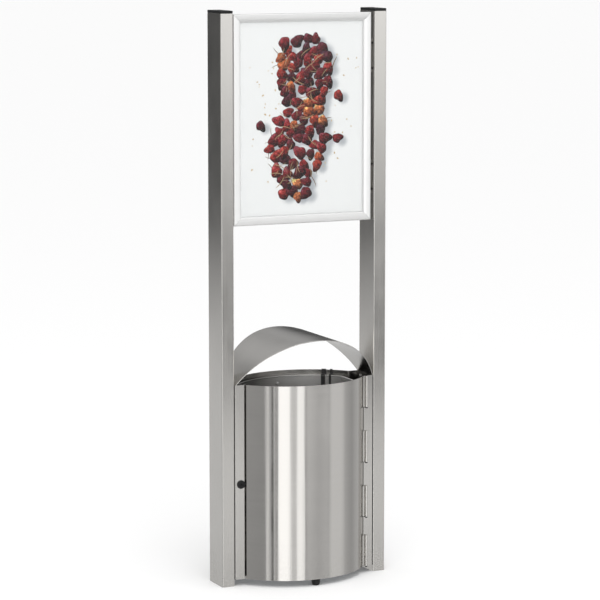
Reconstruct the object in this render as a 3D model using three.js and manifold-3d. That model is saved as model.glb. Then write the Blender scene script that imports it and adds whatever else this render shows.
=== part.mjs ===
// Litter bin between two posts, with a poster frame above and a sheet hood over the mouth.
// Millimetres, +Z up. X runs across the bin, the front faces -Y, the origin is centred on the ground.
import * as THREE from 'three';
import { mergeVertices } from 'three/addons/utils/BufferGeometryUtils.js';
import Module from 'manifold-3d';

const wasm = await Module();
wasm.setup();

// ---------------------------------------------------------------- driving dimensions
const GAP = 0.3; // clearance between pieces that touch
const TOTAL_HEIGHT = 1720;
const OUTER_WIDTH = 540;
const POST_WIDTH = 40;
const POST_DEPTH = 100;
const POST_WALL = 2.5;
const POST_CORNER = 3;
const CAP_THICKNESS = 8;
const PLUG_DEPTH = 22;
const SHEET = 2; // stainless sheet of the bin and hood

const BIN_BOTTOM = 20;
const BIN_TOP = 611;
const BIN_BULGE = 98; // how far the door stands in front of the posts
const BIN_HALF_CHORD = 197; // half width of the bulge where it meets the posts' front plane
const OPENING_HALF = 198; // half width between the two jamb strips
const DOOR_HALF = 193.5; // half width of the closed door
const DOOR_FLANGE_Y = -36; // rear edge of the door's return flanges

const HOOD_PEAK = 747;
const HOOD_HALF_SPAN = 227.4;
const HOOD_OVERHANG = 156; // hood edge from the centre plane, at mid span
const HOOD_FLANGE_DROP = 25;

const FRAME_WIDTH = 450;
const FRAME_BOTTOM = 1085;
const FRAME_TOP = 1709;
const FRAME_PROFILE = 25;
const FRAME_JOINT_Y = -32; // plane where the flip profiles meet the fixed profiles

const HINGE_X = 205.5;
const HINGE_Y = -54.8;
const HINGE_LENGTH = 96;
const HINGE_TOPS = [611, 441, 271, 117];
const KNUCKLE_RADIUS = 4;
const PIN_RADIUS = 2;
const LEAF_THICKNESS = 1.2;

const LOCK_X = -209;
const LOCK_Z = 310;
const CAM_REACH = 16.7; // from the lock's axis to the cam's tip
const CATCH_Y = -28; // front face of the door's catch, just behind the cam
const LINER_TOP = 597;
const LINER_INSET = 14;
const LINER_HALF_WIDTH = 175;
const FOOT_Y = 131;
const FOOT_RADIUS = 13.25;

// ---------------------------------------------------------------- worked out from them
const POST_TOP = TOTAL_HEIGHT - CAP_THICKNESS;
const POST_FRONT = -POST_DEPTH / 2;
const INNER_HALF = OUTER_WIDTH / 2 - POST_WIDTH;
const BIN_RADIUS = (BIN_HALF_CHORD ** 2 + BIN_BULGE ** 2) / (2 * BIN_BULGE);
const BULGE_CENTRE = POST_FRONT - BIN_BULGE + BIN_RADIUS; // centre of the door's arc, behind the bin
const FRAME_HALF = FRAME_WIDTH / 2;
const FRAME_HEIGHT = FRAME_TOP - FRAME_BOTTOM;
const FRAME_MIDDLE = (FRAME_TOP + FRAME_BOTTOM) / 2;

// ---------------------------------------------------------------- finishes
const finish = (color, roughness, metalness) => () =>
  new THREE.MeshStandardMaterial({ color, roughness, metalness });
const brushedSteel = finish(0xb9b7b2, 0.35, 1);
const brightSteel = finish(0xd4d4d2, 0.22, 1);
const galvanised = finish(0x8f9192, 0.5, 0.9);
const blackPlastic = finish(0x151516, 0.5, 0);
const anodised = finish(0xdcdddd, 0.4, 0.85);
const paper = finish(0xf2f1ee, 0.8, 0);
const clearSheet = finish(0xf7f9fa, 0.15, 0);
const greyBoard = finish(0x9a9b9c, 0.7, 0);

const bin = new THREE.Group();

function add(name, geometry, makeMaterial) {
  const mesh = new THREE.Mesh(outward(geometry), makeMaterial());
  mesh.name = name;
  bin.add(mesh);
  return mesh;
}

// ---------------------------------------------------------------- geometry helpers

// Index order that makes every face point out of the solid.
function outward(geometry) {
  geometry.deleteAttribute('normal');
  geometry.deleteAttribute('uv');
  const merged = mergeVertices(geometry, 1e-4);
  const position = merged.getAttribute('position');
  const index = merged.getIndex().array;
  const [a, b, c] = [new THREE.Vector3(), new THREE.Vector3(), new THREE.Vector3()];
  let volume = 0;
  for (let i = 0; i < index.length; i += 3) {
    a.fromBufferAttribute(position, index[i]);
    b.fromBufferAttribute(position, index[i + 1]);
    c.fromBufferAttribute(position, index[i + 2]);
    volume += a.dot(b.cross(c));
  }
  if (volume < 0) {
    for (let i = 0; i < index.length; i += 3) {
      [index[i], index[i + 1]] = [index[i + 1], index[i]];
    }
  }
  merged.computeVertexNormals();
  return merged;
}

function toManifold(geometry) {
  const closed = outward(geometry);
  return new wasm.Manifold(new wasm.Mesh({
    numProp: 3,
    vertProperties: Float32Array.from(closed.getAttribute('position').array),
    triVerts: Uint32Array.from(closed.getIndex().array),
  }));
}

function toGeometry(manifold) {
  const mesh = manifold.getMesh();
  const geometry = new THREE.BufferGeometry();
  geometry.setAttribute('position', new THREE.Float32BufferAttribute(mesh.vertProperties, 3));
  geometry.setIndex(Array.from(mesh.triVerts));
  return geometry;
}

function join(...geometries) {
  return toGeometry(geometries.map(toManifold).reduce((sum, next) => sum.add(next)));
}

function cut(geometry, ...tools) {
  return toGeometry(tools.map(toManifold).reduce((rest, tool) => rest.subtract(tool), toManifold(geometry)));
}

function common(first, second) {
  return toGeometry(toManifold(first).intersect(toManifold(second)));
}

// Points of an arc about (cx, cy) from angle a0 to a1, in degrees, ends included.
function arc(cx, cy, radius, a0, a1, segments) {
  const points = [];
  for (let i = 0; i <= segments; i += 1) {
    const angle = THREE.MathUtils.degToRad(a0 + ((a1 - a0) * i) / segments);
    points.push(new THREE.Vector2(cx + radius * Math.cos(angle), cy + radius * Math.sin(angle)));
  }
  return points;
}

// Half angle, in degrees, that a circle of this radius spans out to half width x.
const halfAngle = (x, radius) => THREE.MathUtils.radToDeg(Math.asin(x / radius));

const point = (x, y) => new THREE.Vector2(x, y);

// A closed outline in the XY plane, with optional holes, raised from z0 to z1.
function prism(points, z0, z1, holes = []) {
  const shape = new THREE.Shape(points);
  shape.holes = holes.map((hole) => new THREE.Path(hole));
  const geometry = new THREE.ExtrudeGeometry(shape, { depth: z1 - z0, bevelEnabled: false });
  return geometry.translate(0, 0, z0);
}

// A closed outline in the XZ plane, with optional holes, filled from y0 back to y1.
function prismY(points, y0, y1, holes = []) {
  return prism(points, 0, y1 - y0, holes).rotateX(Math.PI / 2).translate(0, y1, 0);
}

function block(x0, x1, y0, y1, z0, z1) {
  return new THREE.BoxGeometry(x1 - x0, y1 - y0, z1 - z0)
    .translate((x0 + x1) / 2, (y0 + y1) / 2, (z0 + z1) / 2);
}

// Solid of revolution about a line parallel to Y through (x, z); profile holds [radius, y] pairs.
function turnedY(profile, x, z, segments = 32) {
  const points = profile.map(([radius, y]) => point(radius, y));
  return new THREE.LatheGeometry(points, segments).translate(x, 0, z);
}

// Solid of revolution about a vertical line through (x, y); profile holds [radius, z] pairs.
function turnedZ(profile, x, y, segments = 32) {
  const points = profile.map(([radius, z]) => point(radius, z));
  return new THREE.LatheGeometry(points, segments).rotateX(Math.PI / 2).translate(x, y, 0);
}

const rodX = (x0, x1, radius, y, z, segments = 16) =>
  new THREE.CylinderGeometry(radius, radius, x1 - x0, segments)
    .rotateZ(Math.PI / 2)
    .translate((x0 + x1) / 2, y, z);

function roundedRectangle(halfX, halfY, radius, segments = 4) {
  return [
    ...arc(halfX - radius, halfY - radius, radius, 0, 90, segments),
    ...arc(radius - halfX, halfY - radius, radius, 90, 180, segments),
    ...arc(radius - halfX, radius - halfY, radius, 180, 270, segments),
    ...arc(halfX - radius, radius - halfY, radius, 270, 360, segments),
  ];
}

const mirrorX = (points) => points.map((p) => point(-p.x, p.y)).reverse();

// Outline of the bin's bulge in plan: an arc of the given radius, the front one about
// (0, BULGE_CENTRE) and the rear one mirrored, out to half width x.
function frontArc(radius, x, segments) {
  const half = halfAngle(x, radius);
  return arc(0, BULGE_CENTRE, radius, -90 - half, -90 + half, segments);
}

function rearArc(radius, x, segments) {
  const half = halfAngle(x, radius);
  return arc(0, -BULGE_CENTRE, radius, 90 - half, 90 + half, segments);
}

// ---------------------------------------------------------------- posts
const HOOD_BOLT_Y = [-30, 30];
const HOOD_BOLT_Z = BIN_TOP - 14;
const BOLT_RADIUS = 3;
const BOLT_HOLE = BOLT_RADIUS + GAP;
const sides = [['left', -1], ['right', 1]];

function buildPosts() {
  const outer = roundedRectangle(POST_WIDTH / 2, POST_DEPTH / 2, POST_CORNER);
  const bore = roundedRectangle(POST_WIDTH / 2 - POST_WALL, POST_DEPTH / 2 - POST_WALL, 1);
  const plug = roundedRectangle(POST_WIDTH / 2 - POST_WALL - GAP, POST_DEPTH / 2 - POST_WALL - GAP, 1);
  for (const [side, sign] of sides) {
    const centre = sign * (INNER_HALF + POST_WIDTH / 2);
    const tube = prism(outer, 0, POST_TOP, [bore]).translate(centre, 0, 0);
    const holes = HOOD_BOLT_Y.map((y) =>
      rodX(sign * INNER_HALF - 5, sign * INNER_HALF + 5, BOLT_HOLE, y, HOOD_BOLT_Z, 12));
    add(`${side}_post`, cut(tube, ...holes), brushedSteel);

    const lid = prism(outer, POST_TOP + GAP, TOTAL_HEIGHT).translate(centre, 0, 0);
    const insert = prism(plug, POST_TOP - PLUG_DEPTH, POST_TOP + GAP + 1).translate(centre, 0, 0);
    add(`${side}_post_cap`, join(lid, insert), blackPlastic);

    const base = prism(plug, 0.5, PLUG_DEPTH).translate(centre, 0, 0);
    add(`${side}_post_foot_plug`, base, blackPlastic);
  }
}

// ---------------------------------------------------------------- poster frame
// Profile coordinates: u runs from the outer edge of the frame inwards, v towards the front,
// both measured from the joint plane between the fixed and the flip profile.
const FLIP_HEIGHT = 8;
const FLIP_LIP = 1.3; // how far the flip profile's lip reaches behind the joint plane
const fixedProfile = [
  point(0, 0), point(2, 0), point(2, -5.5), point(FRAME_PROFILE, -5.5), point(FRAME_PROFILE, -8), point(0, -8),
];
const flipProfile = [
  point(0, GAP),
  point(0, 3.5),
  ...arc(5, 3.5, 5, 180, 100, 4).slice(1).map((p) => point(p.x, Math.min(p.y, FLIP_HEIGHT))),
  point(12, FLIP_HEIGHT),
  point(18, 7.2),
  point(22.5, 4.8),
  point(FRAME_PROFILE, 1.2),
  point(FRAME_PROFILE, -FLIP_LIP),
  point(FRAME_PROFILE - 1.6, -FLIP_LIP),
  point(FRAME_PROFILE - 1.7, 0.8),
  point(21.4, 3.4),
  point(17.4, 5.4),
  point(12, 6.2),
  point(5.2, 6.7),
  point(2.4, 5.4),
  point(1.8, 3.4),
  point(1.8, GAP),
];

// A profile run along X at z = 0, with both ends mitred at 45 degrees, u pointing to -Z.
function mitredRail(profile, length) {
  const geometry = new THREE.ExtrudeGeometry(new THREE.Shape(profile), { depth: length, bevelEnabled: false });
  const position = geometry.getAttribute('position');
  const mitreGap = 0.25;
  for (let i = 0; i < position.count; i += 1) {
    const u = position.getX(i);
    const v = position.getY(i);
    const along = position.getZ(i) < length / 2 ? u + mitreGap : length - u - mitreGap;
    position.setXYZ(i, along - length / 2, FRAME_JOINT_Y - v, -u);
  }
  return geometry;
}

const railPlaces = [
  ['top', FRAME_WIDTH, 0, 0, FRAME_TOP],
  ['right', FRAME_HEIGHT, Math.PI / 2, FRAME_HALF, FRAME_MIDDLE],
  ['bottom', FRAME_WIDTH, Math.PI, 0, FRAME_BOTTOM],
  ['left', FRAME_HEIGHT, -Math.PI / 2, -FRAME_HALF, FRAME_MIDDLE],
];

function frameSheet(y0, y1, inset) {
  return block(-FRAME_HALF + inset, FRAME_HALF - inset, y0, y1, FRAME_BOTTOM + inset, FRAME_TOP - inset);
}

function buildFrame() {
  for (const [place, length, turn, x, z] of railPlaces) {
    const parts = [['fixed', fixedProfile], ['flip', flipProfile]];
    for (const [kind, profile] of parts) {
      const geometry = mitredRail(profile, length).rotateY(turn).translate(x, 0, z);
      add(`frame_${kind}_rail_${place}`, geometry, anodised);
    }
  }
  const floorY = FRAME_JOINT_Y + 5.5; // front face of the fixed profiles' floor
  const inset = 2 + GAP;
  add('frame_back_panel', frameSheet(floorY - GAP - 2, floorY - GAP, inset), greyBoard);
  add('poster_sheet', frameSheet(floorY - 3, floorY - 2 - 2 * GAP, inset), paper);
  add('poster_cover', frameSheet(floorY - 4.2 + GAP, floorY - 3 - GAP, inset), clearSheet);

  const backY = FRAME_JOINT_Y + 8 + GAP;
  const bracketOffset = 182; // middle of a bracket above or below the middle of the frame
  const bracketHalf = 50; // half its height
  const bracketLeg = 42;
  const bracketWall = 3;
  for (const [side, sign] of sides) {
    for (const [level, offset] of [['upper', bracketOffset], ['lower', -bracketOffset]]) {
      const middle = FRAME_MIDDLE + offset;
      const wall = sign * (INNER_HALF - GAP);
      const outline = [
        point(wall, backY + bracketLeg),
        point(wall, backY),
        point(sign * (INNER_HALF - bracketLeg), backY),
        point(sign * (INNER_HALF - bracketLeg), backY + bracketWall),
        point(wall - sign * bracketWall, backY + bracketWall),
        point(wall - sign * bracketWall, backY + bracketLeg),
      ];
      add(`${level}_${side}_frame_bracket`, prism(outline, middle - bracketHalf, middle + bracketHalf), brushedSteel);
    }
  }
}

// ---------------------------------------------------------------- hood
function buildHood() {
  const springZ = BIN_TOP + GAP; // the arch starts just above the jambs
  const rise = HOOD_PEAK - springZ;
  const radius = (HOOD_HALF_SPAN ** 2 + rise ** 2) / (2 * rise);
  const centreZ = HOOD_PEAK - radius;
  const half = halfAngle(HOOD_HALF_SPAN, radius);
  const innerHalf = halfAngle(HOOD_HALF_SPAN - SHEET, radius - SHEET);
  const flangeZ = springZ - HOOD_FLANGE_DROP;
  const section = [
    point(HOOD_HALF_SPAN, flangeZ),
    ...arc(0, centreZ, radius, 90 - half, 90 + half, 48),
    point(-HOOD_HALF_SPAN, flangeZ),
    point(SHEET - HOOD_HALF_SPAN, flangeZ),
    ...arc(0, centreZ, radius - SHEET, 90 + innerHalf, 90 - innerHalf, 48),
    point(HOOD_HALF_SPAN - SHEET, flangeZ),
  ];
  const arch = prismY(section, -HOOD_OVERHANG - 10, HOOD_OVERHANG + 10);

  const edgeX = HOOD_HALF_SPAN + 2;
  const bulge = HOOD_OVERHANG + POST_FRONT;
  const edgeRadius = (edgeX ** 2 + bulge ** 2) / (2 * bulge);
  const edgeHalf = halfAngle(edgeX, edgeRadius);
  const edgeCentre = edgeRadius - HOOD_OVERHANG;
  const plan = [
    ...arc(0, edgeCentre, edgeRadius, -90 - edgeHalf, -90 + edgeHalf, 40),
    ...arc(0, -edgeCentre, edgeRadius, 90 - edgeHalf, 90 + edgeHalf, 40),
  ];
  const trimmed = common(arch, prism(plan, flangeZ - 10, HOOD_PEAK + 10));

  const clear = -POST_FRONT - SHEET - GAP;
  const notches = [];
  for (const y of [-1, 1]) {
    const [y0, y1] = y < 0 ? [-60, -clear] : [clear, 60];
    notches.push(block(-240, 240, y0, y1, flangeZ - 5, springZ));
  }
  const holes = [];
  for (const [, sign] of sides) {
    for (const y of HOOD_BOLT_Y) {
      const x = sign * HOOD_HALF_SPAN;
      holes.push(rodX(x - 5, x + 5, BOLT_HOLE, y, HOOD_BOLT_Z, 12));
    }
  }
  add('hood', cut(trimmed, ...notches, ...holes), brushedSteel);

  for (const [side, sign] of sides) {
    for (const [place, y] of [['front', HOOD_BOLT_Y[0]], ['rear', HOOD_BOLT_Y[1]]]) {
      const head = HOOD_HALF_SPAN - SHEET - GAP;
      const profile = [[0, -4], [3.4, -3.6], [5, -2], [5.5, 0], [BOLT_RADIUS, 0], [BOLT_RADIUS, 12], [0, 12]];
      const bolt = new THREE.LatheGeometry(profile.map(([r, h]) => point(r, h)), 16)
        .rotateZ(-sign * Math.PI / 2)
        .translate(sign * head, y, HOOD_BOLT_Z);
      add(`hood_bolt_${side}_${place}`, bolt, brightSteel);
    }
  }
}

// ---------------------------------------------------------------- fixed body of the bin
const WEB = INNER_HALF - GAP; // outer face of a jamb, against the post
const BEND = 3;

function buildBody() {
  const depth = -POST_FRONT;
  const channel = [
    point(OPENING_HALF, -depth),
    ...arc(WEB - BEND, BEND - depth, BEND, -90, 0, 4),
    ...arc(WEB - BEND, depth - BEND, BEND, 0, 90, 4),
    point(OPENING_HALF, depth),
    point(OPENING_HALF, depth - SHEET),
    ...arc(WEB - BEND, depth - BEND, BEND - SHEET, 90, 0, 2),
    ...arc(WEB - BEND, BEND - depth, BEND - SHEET, 0, -90, 2),
    point(OPENING_HALF, SHEET - depth),
  ];
  for (const [side, sign] of sides) {
    const outline = sign > 0 ? channel : mirrorX(channel);
    const tools = HOOD_BOLT_Y.map((y) =>
      rodX(sign * WEB - 5, sign * WEB + 5, BOLT_HOLE, y, HOOD_BOLT_Z, 12));
    if (sign < 0) {
      tools.push(turnedY([[0, -60], [9.3, -60], [9.3, -40], [0, -40]], LOCK_X, LOCK_Z, 24));
    }
    add(`${side}_jamb`, cut(prism(outline, BIN_BOTTOM, BIN_TOP), ...tools), brushedSteel);
  }

  const lap = depth + GAP; // inner face of the rear shell's flanges, on the jambs
  const outerX = Math.sqrt(BIN_RADIUS ** 2 - (lap + SHEET + BULGE_CENTRE) ** 2);
  const innerRadius = BIN_RADIUS - SHEET;
  const innerX = Math.sqrt(innerRadius ** 2 - (lap + BULGE_CENTRE) ** 2);
  const flangeX = WEB - BEND;
  const shell = [
    point(flangeX, lap), point(flangeX, lap + SHEET),
    ...rearArc(BIN_RADIUS, outerX, 48),
    point(-flangeX, lap + SHEET), point(-flangeX, lap),
    ...rearArc(innerRadius, innerX, 48).reverse(),
  ];
  add('rear_shell', prism(shell, BIN_BOTTOM, BIN_TOP), brushedSteel);

  const floorZ = BIN_BOTTOM + 3;
  const frontHalf = DOOR_HALF - 14.5; // the door's flange and hinge leaves swing past the front corners
  const shoulderY = DOOR_FLANGE_Y + 2; // front edge beside the door
  const sideX = WEB - SHEET - GAP;
  const rearY = depth - SHEET - GAP;
  const floorRadius = innerRadius - 1.5;
  const rearRadius = innerRadius - GAP;
  const rearX = Math.sqrt(rearRadius ** 2 - (rearY + BULGE_CENTRE) ** 2);
  const floor = [
    ...frontArc(floorRadius, frontHalf, 32),
    point(frontHalf, shoulderY), point(sideX, shoulderY), point(sideX, rearY),
    ...rearArc(rearRadius, rearX, 32),
    point(-sideX, rearY), point(-sideX, shoulderY), point(-frontHalf, shoulderY),
  ];
  add('bin_floor', prism(floor, floorZ, floorZ + SHEET), galvanised);
  return floorZ;
}

// ---------------------------------------------------------------- door
function buildDoor() {
  const innerRadius = BIN_RADIUS - SHEET;
  const outer = frontArc(BIN_RADIUS, DOOR_HALF, 48);
  const inner = frontArc(innerRadius, DOOR_HALF - SHEET, 48);
  const skin = [
    ...outer,
    point(DOOR_HALF, DOOR_FLANGE_Y), point(DOOR_HALF - SHEET, DOOR_FLANGE_Y),
    ...inner.reverse(),
    point(SHEET - DOOR_HALF, DOOR_FLANGE_Y), point(-DOOR_HALF, DOOR_FLANGE_Y),
  ];
  add('door_skin', prism(skin, BIN_BOTTOM, BIN_TOP), brushedSteel);

  const ribHalf = DOOR_HALF - SHEET - 4;
  for (const [place, z] of [['lower', BIN_BOTTOM + 8], ['upper', BIN_TOP - 30]]) {
    const rib = [
      ...frontArc(innerRadius - GAP, ribHalf, 32),
      ...frontArc(innerRadius - 9, ribHalf - 5, 32).reverse(),
    ];
    add(`door_${place}_rib`, prism(rib, z, z + SHEET), galvanised);
  }

  // Z-shaped in plan: it stands behind the lock's cam once the cam is turned towards the door.
  const inside = SHEET - DOOR_HALF + GAP;
  const catchPlate = [
    point(inside, -50), point(inside + SHEET, -50), point(inside + SHEET, CATCH_Y + SHEET),
    point(1.5 - OPENING_HALF, CATCH_Y + SHEET), point(1.5 - OPENING_HALF, CATCH_Y), point(inside, CATCH_Y),
  ];
  add('door_catch', prism(catchPlate, LOCK_Z - 25, LOCK_Z + 25), galvanised);
}

// ---------------------------------------------------------------- hinges
const KNUCKLE_SPLIT = [0, 0.31, 0.62, 1]; // share of the hinge's length at which the knuckles meet, from below

function knuckle(z0, z1, neck) {
  const ring = prism(arc(HINGE_X, HINGE_Y, KNUCKLE_RADIUS, 0, 360, 20).slice(1), z0, z1);
  const bore = prism(arc(HINGE_X, HINGE_Y, PIN_RADIUS + GAP, 0, 360, 16).slice(1), z0 - 1, z1 + 1);
  return cut(join(ring, neck), bore);
}

function buildHinges() {
  const back = POST_FRONT - GAP; // rear face of a leaf, on the jamb
  const front = back - LEAF_THICKNESS;
  HINGE_TOPS.forEach((top, i) => {
    const bottom = top - HINGE_LENGTH;
    const [z0, z1, z2, z3] = KNUCKLE_SPLIT.map((share) => bottom + share * HINGE_LENGTH);
    const clearX = HINGE_X + KNUCKLE_RADIUS + 0.6;
    const fixedLeaf = [block(clearX, HINGE_X + 17, front, back, bottom, top)];
    for (const [lower, upper] of [[z0, z1 - GAP], [z2 + GAP, z3]]) {
      const neck = block(HINGE_X, clearX + 1, front, back, lower, upper);
      fixedLeaf.push(knuckle(lower, upper, neck));
    }
    add(`hinge_${i + 1}_fixed_leaf`, join(...fixedLeaf), brushedSteel);

    const legX = DOOR_HALF + GAP;
    const edge = HINGE_X - KNUCKLE_RADIUS - 0.6;
    const leafBottom = bottom + 1;
    const doorLeaf = [
      block(legX, edge, front, back, leafBottom, top - 1),
      block(legX, legX + LEAF_THICKNESS, front, DOOR_FLANGE_Y - 2, leafBottom, top - 1),
      knuckle(z1, z2, block(edge - 1, HINGE_X, front, back, z1, z2)),
    ];
    add(`hinge_${i + 1}_door_leaf`, join(...doorLeaf), brushedSteel);

    const head = KNUCKLE_RADIUS - 0.4;
    const pinTop = top - 1;
    const pin = [
      [0, bottom - 3.2], [head, bottom - 3.2], [head, bottom - GAP], [PIN_RADIUS, bottom - GAP],
      [PIN_RADIUS, pinTop], [0, pinTop],
    ];
    add(`hinge_${i + 1}_pin`, turnedZ(pin, HINGE_X, HINGE_Y, 16), blackPlastic);
  });
}

// ---------------------------------------------------------------- lock
function buildLock() {
  const face = POST_FRONT - GAP;
  const housing = [
    [5.9, face - 5.2], [9.5, face - 5.2], [12.2, face - 3.6], [13, face - 1.6], [13, face], [9, face], [9, -33],
    [5.9, -33], [5.9, face - 5.2],
  ];
  add('lock_housing', turnedY(housing, LOCK_X, LOCK_Z), blackPlastic);

  const nutHole = arc(LOCK_X, LOCK_Z, 9 + GAP, 0, 360, 24).slice(1);
  const nutFront = POST_FRONT + SHEET + GAP;
  add('lock_nut', prismY(arc(LOCK_X, LOCK_Z, 13, 0, 360, 6).slice(1), nutFront, nutFront + 5, [nutHole]), galvanised);

  const insertFront = face - 4.4;
  const turned = turnedY(
    [[0, insertFront], [5.6, insertFront], [5.6, -32.5], [4.2, -32.5], [4.2, -27], [0, -27]], LOCK_X, LOCK_Z, 24);
  const socket = prismY(arc(LOCK_X, LOCK_Z, 3.4, 90, 450, 3).slice(1), insertFront - 1, insertFront + 4);
  add('lock_insert', cut(turned, socket), blackPlastic);

  const camHole = arc(LOCK_X, LOCK_Z, 4.5, 0, 360, 16).slice(1);
  const cam = [
    ...arc(LOCK_X, LOCK_Z, 8, 180, 360, 10),
    ...arc(LOCK_X, LOCK_Z + CAM_REACH - 5, 5, 0, 180, 8),
  ];
  add('lock_cam', prismY(cam, CATCH_Y - 3.7, CATCH_Y - 1.2, [camHole]), galvanised);
}

// ---------------------------------------------------------------- liner
function linerPlan(inset, halfWidth) {
  const radius = BIN_RADIUS - inset;
  return [...frontArc(radius, halfWidth, 32), ...rearArc(radius, halfWidth, 32)];
}

function buildLiner(floorZ) {
  const bottom = floorZ + SHEET + GAP;
  const wall = 1.5;
  const outside = prism(linerPlan(LINER_INSET + 1.5, LINER_HALF_WIDTH - 1.5), bottom, LINER_TOP);
  const rim = prism(linerPlan(LINER_INSET, LINER_HALF_WIDTH), LINER_TOP - 5, LINER_TOP);
  const inside = prism(
    linerPlan(LINER_INSET + 1.5 + wall, LINER_HALF_WIDTH - 1.5 - wall), bottom + wall, LINER_TOP + 5);
  add('liner', cut(join(outside, rim), inside), galvanised);

  // Clip that hooks over the rear shell's rim and down inside the liner.
  const innerRadius = BIN_RADIUS - SHEET;
  const clipAngle = 90 - halfAngle(148, BIN_RADIUS);
  const clipHalf = 3.2;
  const [over, bridgeTop] = [BIN_TOP + GAP, BIN_TOP + 2];
  const sector = (outer, inner, z0, z1) => prism([
    ...arc(0, -BULGE_CENTRE, outer, clipAngle - clipHalf, clipAngle + clipHalf, 4),
    ...arc(0, -BULGE_CENTRE, inner, clipAngle + clipHalf, clipAngle - clipHalf, 4),
  ], z0, z1);
  const linerInside = BIN_RADIUS - LINER_INSET - 1.5 - wall;
  const clip = join(
    sector(BIN_RADIUS + GAP + 1.5, BIN_RADIUS + GAP, BIN_TOP - 8, bridgeTop),
    sector(BIN_RADIUS + GAP + 1.5, innerRadius - GAP - 1.5, over, bridgeTop),
    sector(innerRadius - GAP, innerRadius - GAP - 1.5, LINER_TOP + GAP, bridgeTop),
    sector(innerRadius - GAP, linerInside - GAP - 1.5, LINER_TOP + GAP, LINER_TOP + GAP + 1.5),
    sector(linerInside - GAP, linerInside - GAP - 1.5, LINER_TOP - 120, LINER_TOP + GAP + 1.5),
  );
  add('liner_clip', clip, galvanised);
}

// ---------------------------------------------------------------- feet
function buildFeet(floorZ) {
  const nutTop = floorZ - GAP;
  for (const [place, y] of [['front', -FOOT_Y], ['rear', FOOT_Y]]) {
    const padTop = 18;
    const pad = [
      [0, 0], [9.5, 0], [11.4, 2], [FOOT_RADIUS, 8], [FOOT_RADIUS, padTop - 1], [FOOT_RADIUS - 1, padTop],
      [4 + GAP, padTop], [4 + GAP, 8], [0, 8],
    ];
    add(`${place}_foot_pad`, turnedZ(pad, 0, y, 28), blackPlastic);
    add(`${place}_foot_stud`, turnedZ([[0, 8 + GAP], [4, 8 + GAP], [4, nutTop], [0, nutTop]], 0, y, 16), brightSteel);
    const bore = arc(0, y, 4 + GAP, 0, 360, 16).slice(1);
    add(`${place}_foot_nut`, prism(arc(0, y, 9, 0, 360, 6).slice(1), padTop + GAP, nutTop, [bore]), brightSteel);
  }
}

buildPosts();
buildFrame();
buildHood();
const floorZ = buildBody();
buildDoor();
buildHinges();
buildLock();
buildLiner(floorZ);
buildFeet(floorZ);

export default bin;
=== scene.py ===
"""Litter bin between two posts, with a poster frame above and a sheet hood over its mouth.

Metres, +Z up. X runs across the bin, the front faces -Y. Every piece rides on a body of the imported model.
"""
import logging
import math
import random
from dataclasses import dataclass, field
from enum import Enum
from typing import Callable, Iterable, Sequence

import bmesh
import bpy
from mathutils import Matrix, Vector


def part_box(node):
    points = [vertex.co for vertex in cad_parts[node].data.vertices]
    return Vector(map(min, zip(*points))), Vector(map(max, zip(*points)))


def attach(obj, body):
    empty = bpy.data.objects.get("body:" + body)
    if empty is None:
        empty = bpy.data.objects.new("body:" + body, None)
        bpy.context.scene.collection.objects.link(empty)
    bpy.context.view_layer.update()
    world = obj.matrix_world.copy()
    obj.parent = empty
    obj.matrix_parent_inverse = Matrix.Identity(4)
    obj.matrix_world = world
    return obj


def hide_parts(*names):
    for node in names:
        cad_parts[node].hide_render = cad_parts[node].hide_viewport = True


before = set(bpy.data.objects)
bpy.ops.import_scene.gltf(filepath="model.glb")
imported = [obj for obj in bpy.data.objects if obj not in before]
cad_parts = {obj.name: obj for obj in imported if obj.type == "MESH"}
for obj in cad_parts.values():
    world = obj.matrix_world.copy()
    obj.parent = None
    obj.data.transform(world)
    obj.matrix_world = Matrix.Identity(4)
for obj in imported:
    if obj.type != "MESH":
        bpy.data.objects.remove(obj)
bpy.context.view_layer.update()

MM = 0.001
LOG = logging.getLogger("litter_bin")
Point2 = tuple[float, float]
Triple = tuple[float, float, float]
Spot = tuple[Vector, Vector, float]
Stops = Sequence[tuple[float, float | Triple]]
Place = Callable[[float, float, float], Vector]
Socket = bpy.types.NodeSocket
Piece = bpy.types.Object
Mesh = bmesh.types.BMesh
Row = list[bmesh.types.BMVert]


# ------------------------------------------------------------------ named options
class Body(str, Enum):
    """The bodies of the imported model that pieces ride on."""

    STAND = "stand"
    DOOR = "door"
    LOCK_BARREL = "lock_barrel"
    FRONT_FOOT = "front_foot"
    REAR_FOOT = "rear_foot"
    TOP_FLIP = "top_flip_rail"
    RIGHT_FLIP = "right_flip_rail"
    BOTTOM_FLIP = "bottom_flip_rail"
    LEFT_FLIP = "left_flip_rail"


class Slot(str, Enum):
    """The record's material slots."""

    BRUSHED = "brushed_steel"
    BRIGHT = "bright_steel"
    GALVANISED = "galvanised_steel"
    BLACK = "black_plastic"
    ANODISED = "anodised_aluminium"
    PAPER = "poster_paper"
    COVER = "clear_cover"
    BOARD = "back_board"


class Grain(Enum):
    """Which way the brush lines run, as the direction in which the pattern is stretched."""

    UPRIGHT = (1.0, 1.0, 0.006)
    ROUND = (0.012, 0.012, 1.0)
    ACROSS = (0.012, 1.0, 0.012)


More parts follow.
